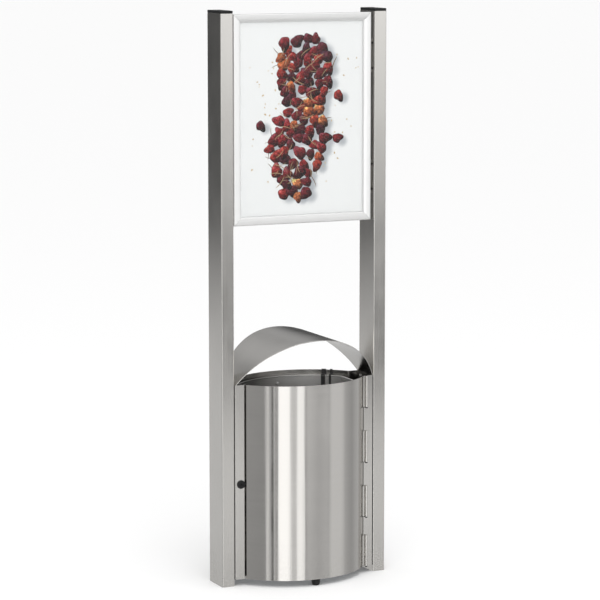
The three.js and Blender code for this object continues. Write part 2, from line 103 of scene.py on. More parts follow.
# ------------------------------------------------------------------ finishes
class NodeSheet:
    """A small helper that adds and joins nodes in one material, world or geometry tree."""

    def __init__(self, tree: bpy.types.NodeTree) -> None:
        """Start on an empty tree."""
        self.tree = tree
        tree.nodes.clear()

    def add(self, kind: str, inputs: dict[str, object] | None = None, **settings: object) -> bpy.types.Node:
        """Add a node.

        Args:
            kind: The node's bl_idname.
            inputs: Values or sockets for its inputs, by socket name or index.
            **settings: Properties of the node.

        Returns:
            The new node.
        """
        node = self.tree.nodes.new(kind)
        for key, value in settings.items():
            setattr(node, key, value)
        for key, value in (inputs or {}).items():
            socket = node.inputs[key]
            if isinstance(value, bpy.types.NodeSocket):
                self.tree.links.new(value, socket)
            else:
                socket.default_value = value
        return node

    def out(self, kind: str, inputs: dict[str, object] | None = None, output: int | str = 0,
            **settings: object) -> Socket:
        """Add a node and give one of its outputs."""
        return self.add(kind, inputs, **settings).outputs[output]

    def maths(self, operation: str, *values: object) -> Socket:
        """Join up to three numbers or sockets with one Math node."""
        return self.out("ShaderNodeMath", dict(enumerate(values)), operation=operation)

    def weigh(self, one: Socket, share: float, two: Socket) -> Socket:
        """The mean of two numbers, the first one with this share."""
        return self.maths("MULTIPLY_ADD", one, share, self.maths("MULTIPLY", two, 1.0 - share))

    def ramp(self, value: object, stops: Stops, ease: bool = False) -> Socket:
        """Turn a number into a colour.

        Args:
            value: Number or socket, 0 to 1.
            stops: Position with a grey level or an RGB colour.
            ease: Whether the steps are eased.

        Returns:
            The colour's socket.
        """
        node = self.add("ShaderNodeValToRGB", {0: value})
        elements = node.color_ramp.elements
        node.color_ramp.interpolation = "EASE" if ease else "LINEAR"
        while len(elements) < len(stops):
            elements.new(0.5)
        for element, (position, _) in zip(elements, stops):
            element.position = position
        for element, (_, colour) in zip(elements, stops):
            element.color = rgba(colour if isinstance(colour, tuple) else (colour,) * 3)
        return node.outputs[0]

    def noise(self, coords: object, scale: float, detail: float = 2.0, roughness: float = 0.5) -> Socket:
        """Noise from 0 to 1, by cells per metre, octaves and how strong the finer octaves are."""
        inputs = {"Vector": coords, "Scale": scale, "Detail": detail, "Roughness": roughness}
        return self.out("ShaderNodeTexNoise", inputs)

    def span(self, value: object, low: float, high: float, start: float = 0.0, end: float = 1.0) -> Socket:
        """Map a number from start..end to low..high, clamped."""
        return self.out("ShaderNodeMapRange", {0: value, 1: start, 2: end, 3: low, 4: high})

    def spread(self, noise: Socket, low: float, high: float) -> Socket:
        """Map the middle of a noise's range, where most of it lies, to low..high."""
        return self.span(noise, low, high, 0.3, 0.7)

    def blend(self, share: object, one: object, two: object, **settings: object) -> Socket:
        """Mix two colours; the share is the second one's."""
        inputs = {0: share, 6: rgba(one), 7: rgba(two)}
        return self.out("ShaderNodeMix", inputs, 2, data_type="RGBA", **settings)

    def tint(self, one: object, two: object) -> Socket:
        """Multiply two colours."""
        return self.blend(1.0, one, two, blend_type="MULTIPLY")

    def stretch(self, coords: Socket, scale: Triple) -> Socket:
        """Coordinates scaled along each axis."""
        return self.out("ShaderNodeMapping", {"Vector": coords, "Scale": scale})

    def bump(self, strength: float, distance: float, height: Socket, **more: Socket) -> Socket:
        """A normal bent by a height pattern."""
        inputs = {"Strength": strength, "Distance": distance, "Height": height, **more}
        return self.out("ShaderNodeBump", inputs)

    def attribute(self, name: str, output: str = "Fac") -> Socket:
        """One of the mesh's own attributes."""
        return self.out("ShaderNodeAttribute", output=output, attribute_name=name)

    def surface(self, colour: object, rough: object, **more: object) -> Socket:
        """A Principled shader."""
        return self.out("ShaderNodeBsdfPrincipled", {"Base Color": colour, "Roughness": rough, **more})


def rgba(colour: object) -> object:
    """A colour with its alpha; a socket stays as it is."""
    return (*colour, 1.0) if isinstance(colour, tuple) else colour


@dataclass(frozen=True)
class Finish:
    """What every finish has: a name, a record slot and a base colour."""

    name: str
    slot: Slot
    colour: Triple = (1.0, 1.0, 1.0)

    def material(self) -> bpy.types.Material:
        """The finish's material, made once.

        Returns:
            The material.
        """
        made = bpy.data.materials.get(self.name)
        if made is None:
            made = bpy.data.materials.new(self.name)
            made.use_nodes = True
            sheet = NodeSheet(made.node_tree)
            coords = sheet.out("ShaderNodeTexCoord", output="Object")
            sheet.add("ShaderNodeOutputMaterial", {"Surface": self.shade(sheet, coords)})
        return made

    def shade(self, sheet: NodeSheet, coords: Socket) -> Socket:
        """Build the shader; each finish has its own."""
        raise NotImplementedError

    def mixed(self, sheet: NodeSheet, low: float, high: float, by: object) -> Socket:
        """The base colour made darker or lighter by a pattern.

        Args:
            sheet: The tree.
            low: Factor where the pattern is 0.
            high: Factor where it is 1.
            by: The pattern.

        Returns:
            The colour.
        """
        dark = tuple(c * low for c in self.colour)
        light = tuple(min(1.0, c * high) for c in self.colour)
        return sheet.blend(by, dark, light)


@dataclass(frozen=True)
class BrushedSteel(Finish):
    """Stainless sheet ground with a belt: fine lines one way, and faint waves in the sheet."""

    grain: Grain = Grain.UPRIGHT
    roughness: float = 0.27
    anisotropy: float = 0.75
    line_bump: float = 0.12
    wave_bump: float = 0.10
    waves_along: Triple = (1.0, 1.0, 0.35)
    waves_scale: float = 9.0
    grime: float = 0.0
    grime_height: float = 0.16
    soil: Triple = (0.24, 0.22, 0.19)
    # The next two fields paint shade and light: the colour is multiplied by a ramp across X, from the first
    # factor at the first place to the second factor at the second; below 1 it is painted shade, above 1
    # painted light.
    painted_shading: Point2 = (1.0, 1.0)
    painted_shading_across: Point2 = (-0.11, 0.1)

    def tangent(self, sheet: NodeSheet) -> Socket:
        """The direction in which the highlight is drawn out, square to the brush lines.

        Args:
            sheet: The tree.

        Returns:
            The direction.
        """
        up = (0.0, 0.0, 1.0)
        if self.grain is Grain.UPRIGHT:
            normal = sheet.out("ShaderNodeNewGeometry", output="Normal")
            return sheet.out("ShaderNodeVectorMath", {0: normal, 1: up}, operation="CROSS_PRODUCT")
        along = up if self.grain is Grain.ROUND else (0.0, 1.0, 0.0)
        return sheet.out("ShaderNodeCombineXYZ", dict(enumerate(along)))

    def shade(self, sheet: NodeSheet, coords: Socket) -> Socket:
        """Build the steel's shader.

        Args:
            sheet: The tree.
            coords: The piece's own coordinates.

        Returns:
            The shader.
        """
        drawn = sheet.stretch(coords, self.grain.value)
        lines = sheet.noise(drawn, scale=1400.0, roughness=0.55)
        bands = sheet.noise(drawn, scale=260.0)
        smears = sheet.noise(coords, scale=7.0, detail=3.0, roughness=0.55)
        grain = sheet.weigh(bands, 0.45, lines)
        colour = self.mixed(sheet, 0.92, 1.08, sheet.weigh(smears, 0.35, grain))
        rough = sheet.maths("ADD", sheet.spread(grain, -0.025, 0.025), sheet.spread(smears, -0.03, 0.035))
        rough = sheet.maths("ADD", rough, self.roughness)
        across, _, height = sheet.add("ShaderNodeSeparateXYZ", {0: coords}).outputs
        # Painted shade and light: the colour is darkened or lightened across X by the ramp above.
        if self.painted_shading != (1.0, 1.0):
            colour = sheet.tint(colour, sheet.span(across, *self.painted_shading, *self.painted_shading_across))
        if self.grime > 0.0:
            low = sheet.span(height, 1.0, 0.0, 0.0, self.grime_height)
            specks = sheet.noise(coords, scale=260.0, roughness=0.6)
            dirt = sheet.maths("MULTIPLY", low, sheet.span(specks, 0.0, self.grime, 0.42, 0.72))
            colour = sheet.blend(dirt, colour, self.soil)
            rough = sheet.maths("MULTIPLY_ADD", dirt, 0.4, rough)
        waves = sheet.noise(sheet.stretch(coords, self.waves_along), self.waves_scale, roughness=0.35)
        fine = sheet.bump(self.line_bump, 0.02 * MM, lines)
        soft = sheet.bump(self.wave_bump, 1.2 * MM, waves, Normal=fine)
        return sheet.surface(colour, rough, Metallic=1.0, Anisotropic=self.anisotropy,
                             Tangent=self.tangent(sheet), Normal=soft)


@dataclass(frozen=True)
class TurnedSteel(Finish):
    """Bright machined steel, for bolts, studs and rivets."""

    roughness: float = 0.2

    def shade(self, sheet: NodeSheet, coords: Socket) -> Socket:
        """Build the steel's shader.

        Args:
            sheet: The tree.
            coords: The piece's own coordinates.

        Returns:
            The shader.
        """
        marks = sheet.noise(coords, scale=900.0)
        rough = sheet.spread(marks, self.roughness - 0.05, self.roughness + 0.12)
        colour = self.mixed(sheet, 0.82, 1.05, marks)
        return sheet.surface(colour, rough, Metallic=1.0, Normal=sheet.bump(0.15, 0.03 * MM, marks))


@dataclass(frozen=True)
class ZincSheet(Finish):
    """Galvanised steel: patches of zinc crystal and dull scuffs."""

    def shade(self, sheet: NodeSheet, coords: Socket) -> Socket:
        """Build the zinc's shader.

        Args:
            sheet: The tree.
            coords: The piece's own coordinates.

        Returns:
            The shader.
        """
        crystals = sheet.out("ShaderNodeTexVoronoi", {"Vector": coords, "Scale": 95.0}, "Color")
        patch = sheet.out("ShaderNodeSeparateColor", {0: crystals})
        scuffs = sheet.noise(coords, scale=26.0, detail=4.0, roughness=0.6)
        tone = sheet.weigh(patch, 0.5, scuffs)
        rough = sheet.maths("MULTIPLY_ADD", patch, 0.16, sheet.spread(scuffs, 0.3, 0.48))
        colour = self.mixed(sheet, 0.72, 1.12, tone)
        return sheet.surface(colour, rough, Metallic=0.95, Normal=sheet.bump(0.2, 0.1 * MM, tone))


@dataclass(frozen=True)
class MouldedPlastic(Finish):
    """Black moulded plastic with a fine leathery texture and a little dust on what faces up."""

    dust: Triple = (0.035, 0.034, 0.032)

    def shade(self, sheet: NodeSheet, coords: Socket) -> Socket:
        """Build the plastic's shader.

        Args:
            sheet: The tree.
            coords: The piece's own coordinates.

        Returns:
            The shader.
        """
        pebble = sheet.out("ShaderNodeTexVoronoi", {"Vector": coords, "Scale": 1400.0}, "Distance")
        clouds = sheet.noise(coords, scale=40.0, detail=4.0, roughness=0.6)
        normal = sheet.out("ShaderNodeNewGeometry", output="Normal")
        up = sheet.out("ShaderNodeSeparateXYZ", {0: normal}, 2)
        dusty = sheet.maths("MULTIPLY", sheet.span(up, 0.0, 0.5, 0.4, 1.0), sheet.spread(clouds, 0.2, 1.0))
        colour = sheet.blend(dusty, self.mixed(sheet, 0.7, 1.6, clouds), self.dust)
        rough = sheet.maths("MULTIPLY_ADD", dusty, 0.5, sheet.spread(clouds, 0.34, 0.5))
        return sheet.surface(colour, rough, Normal=sheet.bump(0.35, 0.06 * MM, pebble),
                             **{"Specular IOR Level": 0.25})


@dataclass(frozen=True)
class AnodisedProfile(Finish):
    """Satin silver anodised aluminium with the faint lines that the extrusion die leaves."""

    lengthwise: Triple = (0.01, 1.0, 1.0)

    def shade(self, sheet: NodeSheet, coords: Socket) -> Socket:
        """Build the profile's shader.

        Args:
            sheet: The tree.
            coords: The piece's own coordinates.

        Returns:
            The shader.
        """
        lines = sheet.noise(sheet.stretch(coords, self.lengthwise), scale=1300.0)
        tone = sheet.weigh(lines, 0.6, sheet.noise(coords, scale=30.0, detail=3.0))
        colour = self.mixed(sheet, 0.93, 1.05, tone)
        return sheet.surface(colour, sheet.spread(tone, 0.36, 0.5), Metallic=0.75,
                             Normal=sheet.bump(0.12, 0.03 * MM, lines))


@dataclass(frozen=True)
class PrintedPaper(Finish):
    """Coated poster paper; the mesh's own shade attribute darkens it where the print has soft shadows."""

    shadow: Triple = (0.33, 0.35, 0.38)

    def shade(self, sheet: NodeSheet, coords: Socket) -> Socket:
        """Build the paper's shader.

        Args:
            sheet: The tree.
            coords: The piece's own coordinates.

        Returns:
            The shader.
        """
        fibres = sheet.noise(coords, scale=900.0, detail=3.0, roughness=0.6)
        colour = sheet.blend(sheet.attribute("shade"), self.mixed(sheet, 0.985, 1.01, fibres), self.shadow)
        return sheet.surface(colour, sheet.spread(fibres, 0.5, 0.62),
                             Normal=sheet.bump(0.08, 0.04 * MM, fibres))


@dataclass(frozen=True)
class FruitInk(Finish):
    """Printed dried fruit, red to brown by its own tone, lit from the upper left and dark in its folds."""

    light: Triple = (-0.55, 0.0, 0.83)
    reach: float = 19.0 * MM
    hues: tuple[tuple[float, Triple], ...] = (
        (0.0, (0.06, 0.008, 0.014)), (0.3, (0.15, 0.01, 0.014)), (0.6, (0.25, 0.014, 0.016)),
        (0.8, (0.33, 0.03, 0.018)), (0.9, (0.46, 0.1, 0.03)), (1.0, (0.52, 0.17, 0.06)),
    )
    shades: tuple[tuple[float, Triple], ...] = (
        (0.0, (0.05, 0.05, 0.07)), (0.3, (0.25, 0.22, 0.26)), (0.58, (0.9, 0.85, 0.9)),
        (0.8, (1.4, 1.5, 1.5)), (0.92, (1.7, 3.0, 3.2)), (1.0, (2.0, 6.0, 6.5)),
    )

    def shade(self, sheet: NodeSheet, coords: Socket) -> Socket:
        """Build the ink's shader.

        Args:
            sheet: The tree.
            coords: The piece's own coordinates.

        Returns:
            The shader.
        """
        middle = sheet.attribute("middle", "Vector")
        offset = sheet.out("ShaderNodeVectorMath", {0: coords, 1: middle}, operation="SUBTRACT")
        lit = sheet.out("ShaderNodeVectorMath", {0: offset, 1: self.light}, "Value", operation="DOT_PRODUCT")
        wrinkles = sheet.noise(coords, scale=130.0, detail=3.0, roughness=0.7)
        bent = sheet.maths("MULTIPLY_ADD", sheet.maths("SUBTRACT", wrinkles, 0.5), self.reach * 2.3, lit)
        glow = sheet.span(bent, 0.0, 1.0, -self.reach * 0.95, self.reach * 0.9)
        lit_hue = sheet.tint(sheet.ramp(sheet.attribute("tone"), self.hues), sheet.ramp(glow, self.shades))
        folds = sheet.span(sheet.attribute("fold"), 0.25, 1.1)
        creased = sheet.maths("MULTIPLY", folds, sheet.span(wrinkles, 0.5, 1.2, 0.32, 0.6))
        return sheet.surface(sheet.tint(lit_hue, creased), sheet.span(wrinkles, 0.5, 0.7))


@dataclass(frozen=True)
class PlainInk(Finish):
    """Printed seeds and stalks: one ink, mottled."""

    def shade(self, sheet: NodeSheet, coords: Socket) -> Socket:
        """Build the ink's mottled shader."""
        mottled = sheet.noise(coords, scale=420.0, detail=3.0, roughness=0.6)
        return sheet.surface(self.mixed(sheet, 0.6, 1.3, mottled), sheet.span(mottled, 0.5, 0.65))


@dataclass(frozen=True)
class ClearSheet(Finish):
    """Thin clear cover sheet: mostly see-through, with a reflection that grows towards the edge."""

    clearness: Triple = (0.985, 0.99, 0.99)
    gloss: float = 0.3

    def shade(self, sheet: NodeSheet, coords: Socket) -> Socket:
        """Build the cover's shader.

        Args:
            sheet: The tree.
            coords: The piece's own coordinates.

        Returns:
            The shader.
        """
        rough = sheet.spread(sheet.noise(coords, scale=14.0, detail=3.0), 0.12, 0.22)
        gloss = sheet.out("ShaderNodeBsdfAnisotropic", {"Color": rgba(self.colour), "Roughness": rough})
        clear = sheet.out("ShaderNodeBsdfTransparent", {"Color": rgba(self.clearness)})
        facing = sheet.out("ShaderNodeLayerWeight", {"Blend": 0.25}, "Fresnel")
        share = sheet.maths("MULTIPLY", facing, self.gloss)
        return sheet.out("ShaderNodeMixShader", {0: share, 1: clear, 2: gloss})


@dataclass(frozen=True)
class FibreBoard(Finish):
    """Grey backing board of the poster frame."""

    def shade(self, sheet: NodeSheet, coords: Socket) -> Socket:
        """Build the board's shader.

        Args:
            sheet: The tree.
            coords: The piece's own coordinates.

        Returns:
            The shader.
        """
        mottled = sheet.noise(coords, scale=320.0, detail=4.0, roughness=0.65)
        return sheet.surface(self.mixed(sheet, 0.85, 1.12, mottled), 0.75,
                             Normal=sheet.bump(0.25, 0.1 * MM, mottled))


STEEL_TONE = (0.63, 0.615, 0.59)
DOOR_TONE = (0.575, 0.56, 0.538)
POST_STEEL = BrushedSteel("post_steel", Slot.BRUSHED, STEEL_TONE, roughness=0.2, anisotropy=0.9,
                          line_bump=0.06, wave_bump=0.05, grime=0.3)
DOOR_STEEL = BrushedSteel("door_steel", Slot.BRUSHED, DOOR_TONE, Grain.ROUND, roughness=0.18,
                          anisotropy=0.95, line_bump=0.05, wave_bump=0.12, waves_along=(1.0, 1.0, 0.03),
                          waves_scale=70.0, grime=0.15)
HOOD_STEEL = BrushedSteel("hood_steel", Slot.BRUSHED, STEEL_TONE, Grain.ACROSS, roughness=0.17,
                          anisotropy=0.3, line_bump=0.08, wave_bump=0.2, waves_along=(1.0, 0.3, 1.0),
                          waves_scale=14.0)
# The liner carries painted shade, dark towards its left, and a little painted light towards its right.
LINER_STEEL = BrushedSteel("liner_steel", Slot.GALVANISED, (0.92, 0.91, 0.89), Grain.ROUND, roughness=0.45,
                           anisotropy=0.1, line_bump=0.06, grime=0.3, painted_shading=(0.3, 1.08))
FITTING_STEEL = BrushedSteel("fitting_steel", Slot.BRUSHED, STEEL_TONE, roughness=0.3, anisotropy=0.4)
RIVET_ALUMINIUM = TurnedSteel("rivet_aluminium", Slot.BRIGHT, (0.93, 0.93, 0.93), roughness=0.45)
BOLT_STEEL = TurnedSteel("bolt_steel", Slot.BRIGHT, (0.72, 0.72, 0.71))
ZINC = ZincSheet("liner_zinc", Slot.GALVANISED, (0.42, 0.43, 0.44))
STRAP_STEEL = ZincSheet("strap_zinc", Slot.GALVANISED, (0.16, 0.16, 0.16))
BLACK = MouldedPlastic("black_moulding", Slot.BLACK, (0.009, 0.009, 0.0095))
# Three tones of the same anodised profile: the level profiles are a darker copy of painted shade, the upright
# ones a lighter copy of painted light, and the base profiles a dark copy that paints the shadow line at the
# frame's inner edge.
SILVER_LEVEL_SHADED = AnodisedProfile("silver_profile_level", Slot.ANODISED, (0.76, 0.76, 0.755))
SILVER_BASE_SHADOW = AnodisedProfile("silver_profile_base", Slot.ANODISED, (0.5, 0.5, 0.5), (1.0, 1.0, 1.0))
SILVER_UPRIGHT_LIT = AnodisedProfile("silver_profile_upright", Slot.ANODISED, (0.93, 0.93, 0.925),
                                 (1.0, 1.0, 0.01))
PAPER = PrintedPaper("coated_paper", Slot.PAPER, (0.85, 0.845, 0.84))
FRUIT = FruitInk("poster_fruit_ink", Slot.PAPER)
SEED_INK = PlainInk("poster_seed_ink", Slot.PAPER, (0.62, 0.47, 0.27))
TWIG_INK = PlainInk("poster_twig_ink", Slot.PAPER, (0.4, 0.27, 0.14))
STALK_INK = PlainInk("poster_stalk_ink", Slot.PAPER, (0.2, 0.13, 0.07))
COVER = ClearSheet("cover_sheet", Slot.COVER, (0.9, 0.92, 0.93))
BOARD = FibreBoard("backing_board", Slot.BOARD, (0.36, 0.365, 0.37))


# ------------------------------------------------------------------ workshop: meshes
def flat_arc(centre: Point2, radius: float, start: float, end: float, steps: int) -> list[Point2]:
    """Points of an arc, ends included.

    Args:
        centre: Its centre.
        radius: Its radius.
        start: First angle in degrees.
        end: Last angle in degrees.
        steps: Number of chords.

    Returns:
        The points.
    """
    angles = [math.radians(start + (end - start) * i / steps) for i in range(steps + 1)]
    return [(centre[0] + radius * math.cos(a), centre[1] + radius * math.sin(a)) for a in angles]


def rounded(points: Sequence[Point2], radii: dict[int, float], steps: int = 6) -> list[Point2]:
    """Round chosen corners of an open path.

    Args:
        points: The path.
        radii: Radius for each corner by its index.
        steps: Chords in each rounded corner.

    Returns:
        The path with its corners rounded.
    """
    made: list[Point2] = []
    for i, point in enumerate(points):
        radius = radii.get(i)
        if radius is None:
            made.append(point)
            continue
        corner, before, after = (Vector(points[j]) for j in (i, i - 1, i + 1))
        one, two = (before - corner).normalized(), (after - corner).normalized()
        half = one.angle(two) / 2
        reach = min(radius / math.tan(half), 0.45 * min((before - corner).length, (after - corner).length))
        start, end = corner + one * reach, corner + two * reach
        for step in range(steps + 1):
            t = step / steps
            bent = start * (1 - t) ** 2 + corner * (2 * t * (1 - t)) + end * t**2
            made.append((bent.x, bent.y))
    return made


def offset_path(path: Sequence[Point2], distance: float, closed: bool) -> list[Point2]:
    """The path moved sideways, to the left of its direction.

    Args:
        path: The path.
        distance: How far.
        closed: Whether its ends meet.

    Returns:
        The moved path, with as many points.
    """
    count = len(path)
    made = []
    for i in range(count):
        before = path[(i - 1) % count] if closed or i > 0 else path[i]
        after = path[(i + 1) % count] if closed or i < count - 1 else path[i]
        here = Vector(path[i])
        normals = []
        for a, b in ((Vector(before), here), (here, Vector(after))):
            run = b - a
            if run.length > 1e-9:
                normals.append(Vector((-run.y, run.x)).normalized())
        mean = sum(normals, Vector((0.0, 0.0))).normalized()
        spread = distance / max(0.5, mean.dot(normals[0]))
        made.append((here.x + mean.x * spread, here.y + mean.y * spread))
    return made


def linked(name: str, data: bpy.types.ID) -> Piece:
    """Make an object in the scene.

    Args:
        name: Its name.
        data: Its mesh, light or camera.

    Returns:
        The object.
    """
    made = bpy.data.objects.new(name, data)
    bpy.context.scene.collection.objects.link(made)
    return made


def object_of(name: str, work: Mesh, outward: bool = True) -> Piece:
    """Turn a bmesh into an object and free it.

    Args:
        name: The object's name.
        work: The bmesh.
        outward: Whether its faces are first turned to face outwards.

    Returns:
        The object.
    """
    if outward:
        bmesh.ops.recalc_face_normals(work, faces=work.faces)
    mesh = bpy.data.meshes.new(name)
    work.to_mesh(mesh)
    work.free()
    return linked(name, mesh)


def strip(work: Mesh, one: Row, two: Row, closed: bool = True) -> None:
    """Make the faces between two rows of corners.

    Args:
        work: The bmesh.
        one: The first row.
        two: The second row, with as many corners; one may stand for all of them.
        closed: Whether the rows run round.
    """
    count = len(one)
    for i in range(count if closed else count - 1):
        j = (i + 1) % count
        work.faces.new(list(dict.fromkeys((one[i], one[j], two[j], two[i]))))


class Workshop:
    """Makes, finishes and registers plain meshes."""

    def __init__(self) -> None:
        """Start with no pieces made."""
        self.made: list[str] = []

    def cad_copy(self, name: str, nodes: Iterable[str], dissolve: float = 0.2) -> Piece:
        """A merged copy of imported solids, with flat faces made whole again.

        Args:
            name: The new object's name.
            nodes: The solids' names.
            dissolve: Faces within this many degrees of each other are joined.

        Returns:
            The new object.
        """
        work = bmesh.new()
        for node in nodes:
            work.from_mesh(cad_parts[node].data)
        bmesh.ops.remove_doubles(work, verts=work.verts, dist=0.01 * MM)
        limit = math.radians(dissolve)
        bmesh.ops.dissolve_limit(work, angle_limit=limit, verts=work.verts, edges=work.edges)
        return object_of(name, work, outward=False)

    def sheet(self, name: str, path: Sequence[Point2], thickness: float,
              stations: Callable[[Point2], list[float]], place: Place, closed: bool = False) -> Piece:
        """A folded or rolled sheet: a section path with a thickness, drawn along a third direction.

        Args:
            name: The object's name.
            path: The outer face's section.
            thickness: How far the inner face lies to the left of it.
            stations: Gives the places along the sheet for a point of the section; always as many.
            place: Turns (u, v, along) into a point in space.
            closed: Whether the section's ends meet.

        Returns:
            The new object.
        """
        work = bmesh.new()
        skins = [[[work.verts.new(place(u, v, w)) for w in stations(base)]
                  for (u, v), base in zip(side, path)]
                 for side in (path, offset_path(path, thickness, closed))]
        for skin in skins:
            for one, two in zip(skin, [*skin[1:], skin[0]] if closed else skin[1:]):
                strip(work, one, two, closed=False)
        for end in (0, -1):
            strip(work, *([row[end] for row in skin] for skin in skins), closed=closed)
            if not closed:
                strip(work, *(skin[end] for skin in skins), closed=False)
        return object_of(name, work)

    def turned(self, name: str, profile: Sequence[Point2], steps: int) -> Piece:
        """A turned solid about the vertical axis.

        Args:
            name: The object's name.
            profile: Radius and height, from the lower middle to the upper middle.
            steps: Sides round the axis.

        Returns:
            The new object.
        """
        work = bmesh.new()
        angles = [2 * math.pi * i / steps for i in range(steps)]
        rings = []
        for radius, height in profile:
            if radius > 0.0:
                spots = [(radius * math.cos(a), radius * math.sin(a), height) for a in angles]
                rings.append([work.verts.new(spot) for spot in spots])
            else:
                rings.append([work.verts.new((0.0, 0.0, height))] * steps)
        for low, high in zip(rings, rings[1:]):
            strip(work, low, high)
        return object_of(name, work)

    def plate(self, name: str, outline: Sequence[Point2], low: float, high: float) -> Piece:
        """A flat level plate.

        Args:
            name: The object's name.
            outline: Its outline in plan.
            low: Height of its underside.
            high: Height of its top.

        Returns:
            The new object.
        """
        work = bmesh.new()
        under, over = ([work.verts.new((u, v, w)) for u, v in outline] for w in (low, high))
        work.faces.new(under)
        work.faces.new(over[::-1])
        strip(work, under, over)
        return object_of(name, work)

    def joined(self, name: str, parts: Sequence[Piece]) -> Piece:
        """Several objects made one, the loose ones removed.

        Args:
            name: The new object's name.
            parts: The objects.

        Returns:
            The new object.
        """
        work = bmesh.new()
        for part in parts:
            work.from_mesh(part.data)
            bpy.data.objects.remove(part)
        return object_of(name, work, outward=False)

    def soften(self, piece: Piece, width: float, steps: int = 2, angle: float = 32.0) -> Piece:
        """Round the sharp edges and shade the rest smoothly, as a plain mesh.

        Args:
            piece: The object.
            width: Width of the rounding.
            steps: Its segments.
            angle: Edges sharper than this many degrees are rounded.

        Returns:
            The same object with its final mesh.
        """
        for polygon in piece.data.polygons:
            polygon.use_smooth = True
        if width > 0:
            bevel = piece.modifiers.new("edge_rounding", "BEVEL")
            bevel.width = width
            bevel.segments = steps
            bevel.limit_method = "ANGLE"
            bevel.angle_limit = math.radians(angle)
        weights = piece.modifiers.new("face_weights", "WEIGHTED_NORMAL")
        weights.mode = "FACE_AREA_WITH_ANGLE"
        return self.baked(piece)

    def baked(self, piece: Piece) -> Piece:
        """Put what the modifiers make into the object's own mesh, and take them off.

        Args:
            piece: The object.

        Returns:
            The same object.
        """
        bpy.context.view_layer.update()
        graph = bpy.context.evaluated_depsgraph_get()
        mesh = bpy.data.meshes.new_from_object(piece.evaluated_get(graph), depsgraph=graph)
        piece.modifiers.clear()
        old, piece.data = piece.data, mesh
        bpy.data.meshes.remove(old)
        mesh.name = piece.name
        return piece

    def hand_in(self, piece: Piece, finish: Finish, body: Body, nodes: Iterable[str] = ()) -> None:
        """Give a piece its finish, body and the solids it stands for.

        Args:
            piece: The finished object.
            finish: Its finish.
            body: The body it rides on.
            nodes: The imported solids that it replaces.
        """
        piece.data.materials.clear()
        piece.data.materials.append(finish.material())
        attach(piece, body.value)
        if nodes:
            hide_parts(*nodes)
        self.made.append(piece.name)
        LOG.info("%s: %d faces, rides on %s", piece.name, len(piece.data.polygons), body.value)

    def refined(self, name: str, nodes: Sequence[str], finish: Finish, body: Body = Body.STAND,
                width: float = 0.3 * MM, dissolve: float = 0.2) -> None:
        """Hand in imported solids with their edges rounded, under a new name.

        Args:
            name: The piece's name.
            nodes: The solids' names.
            finish: The finish.
            body: The body it rides on.
            width: Width of the rounding.
            dissolve: Faces within this many degrees of each other are joined first.
        """
        piece = self.soften(self.cad_copy(name, nodes, dissolve), width)
        self.hand_in(piece, finish, body, nodes)


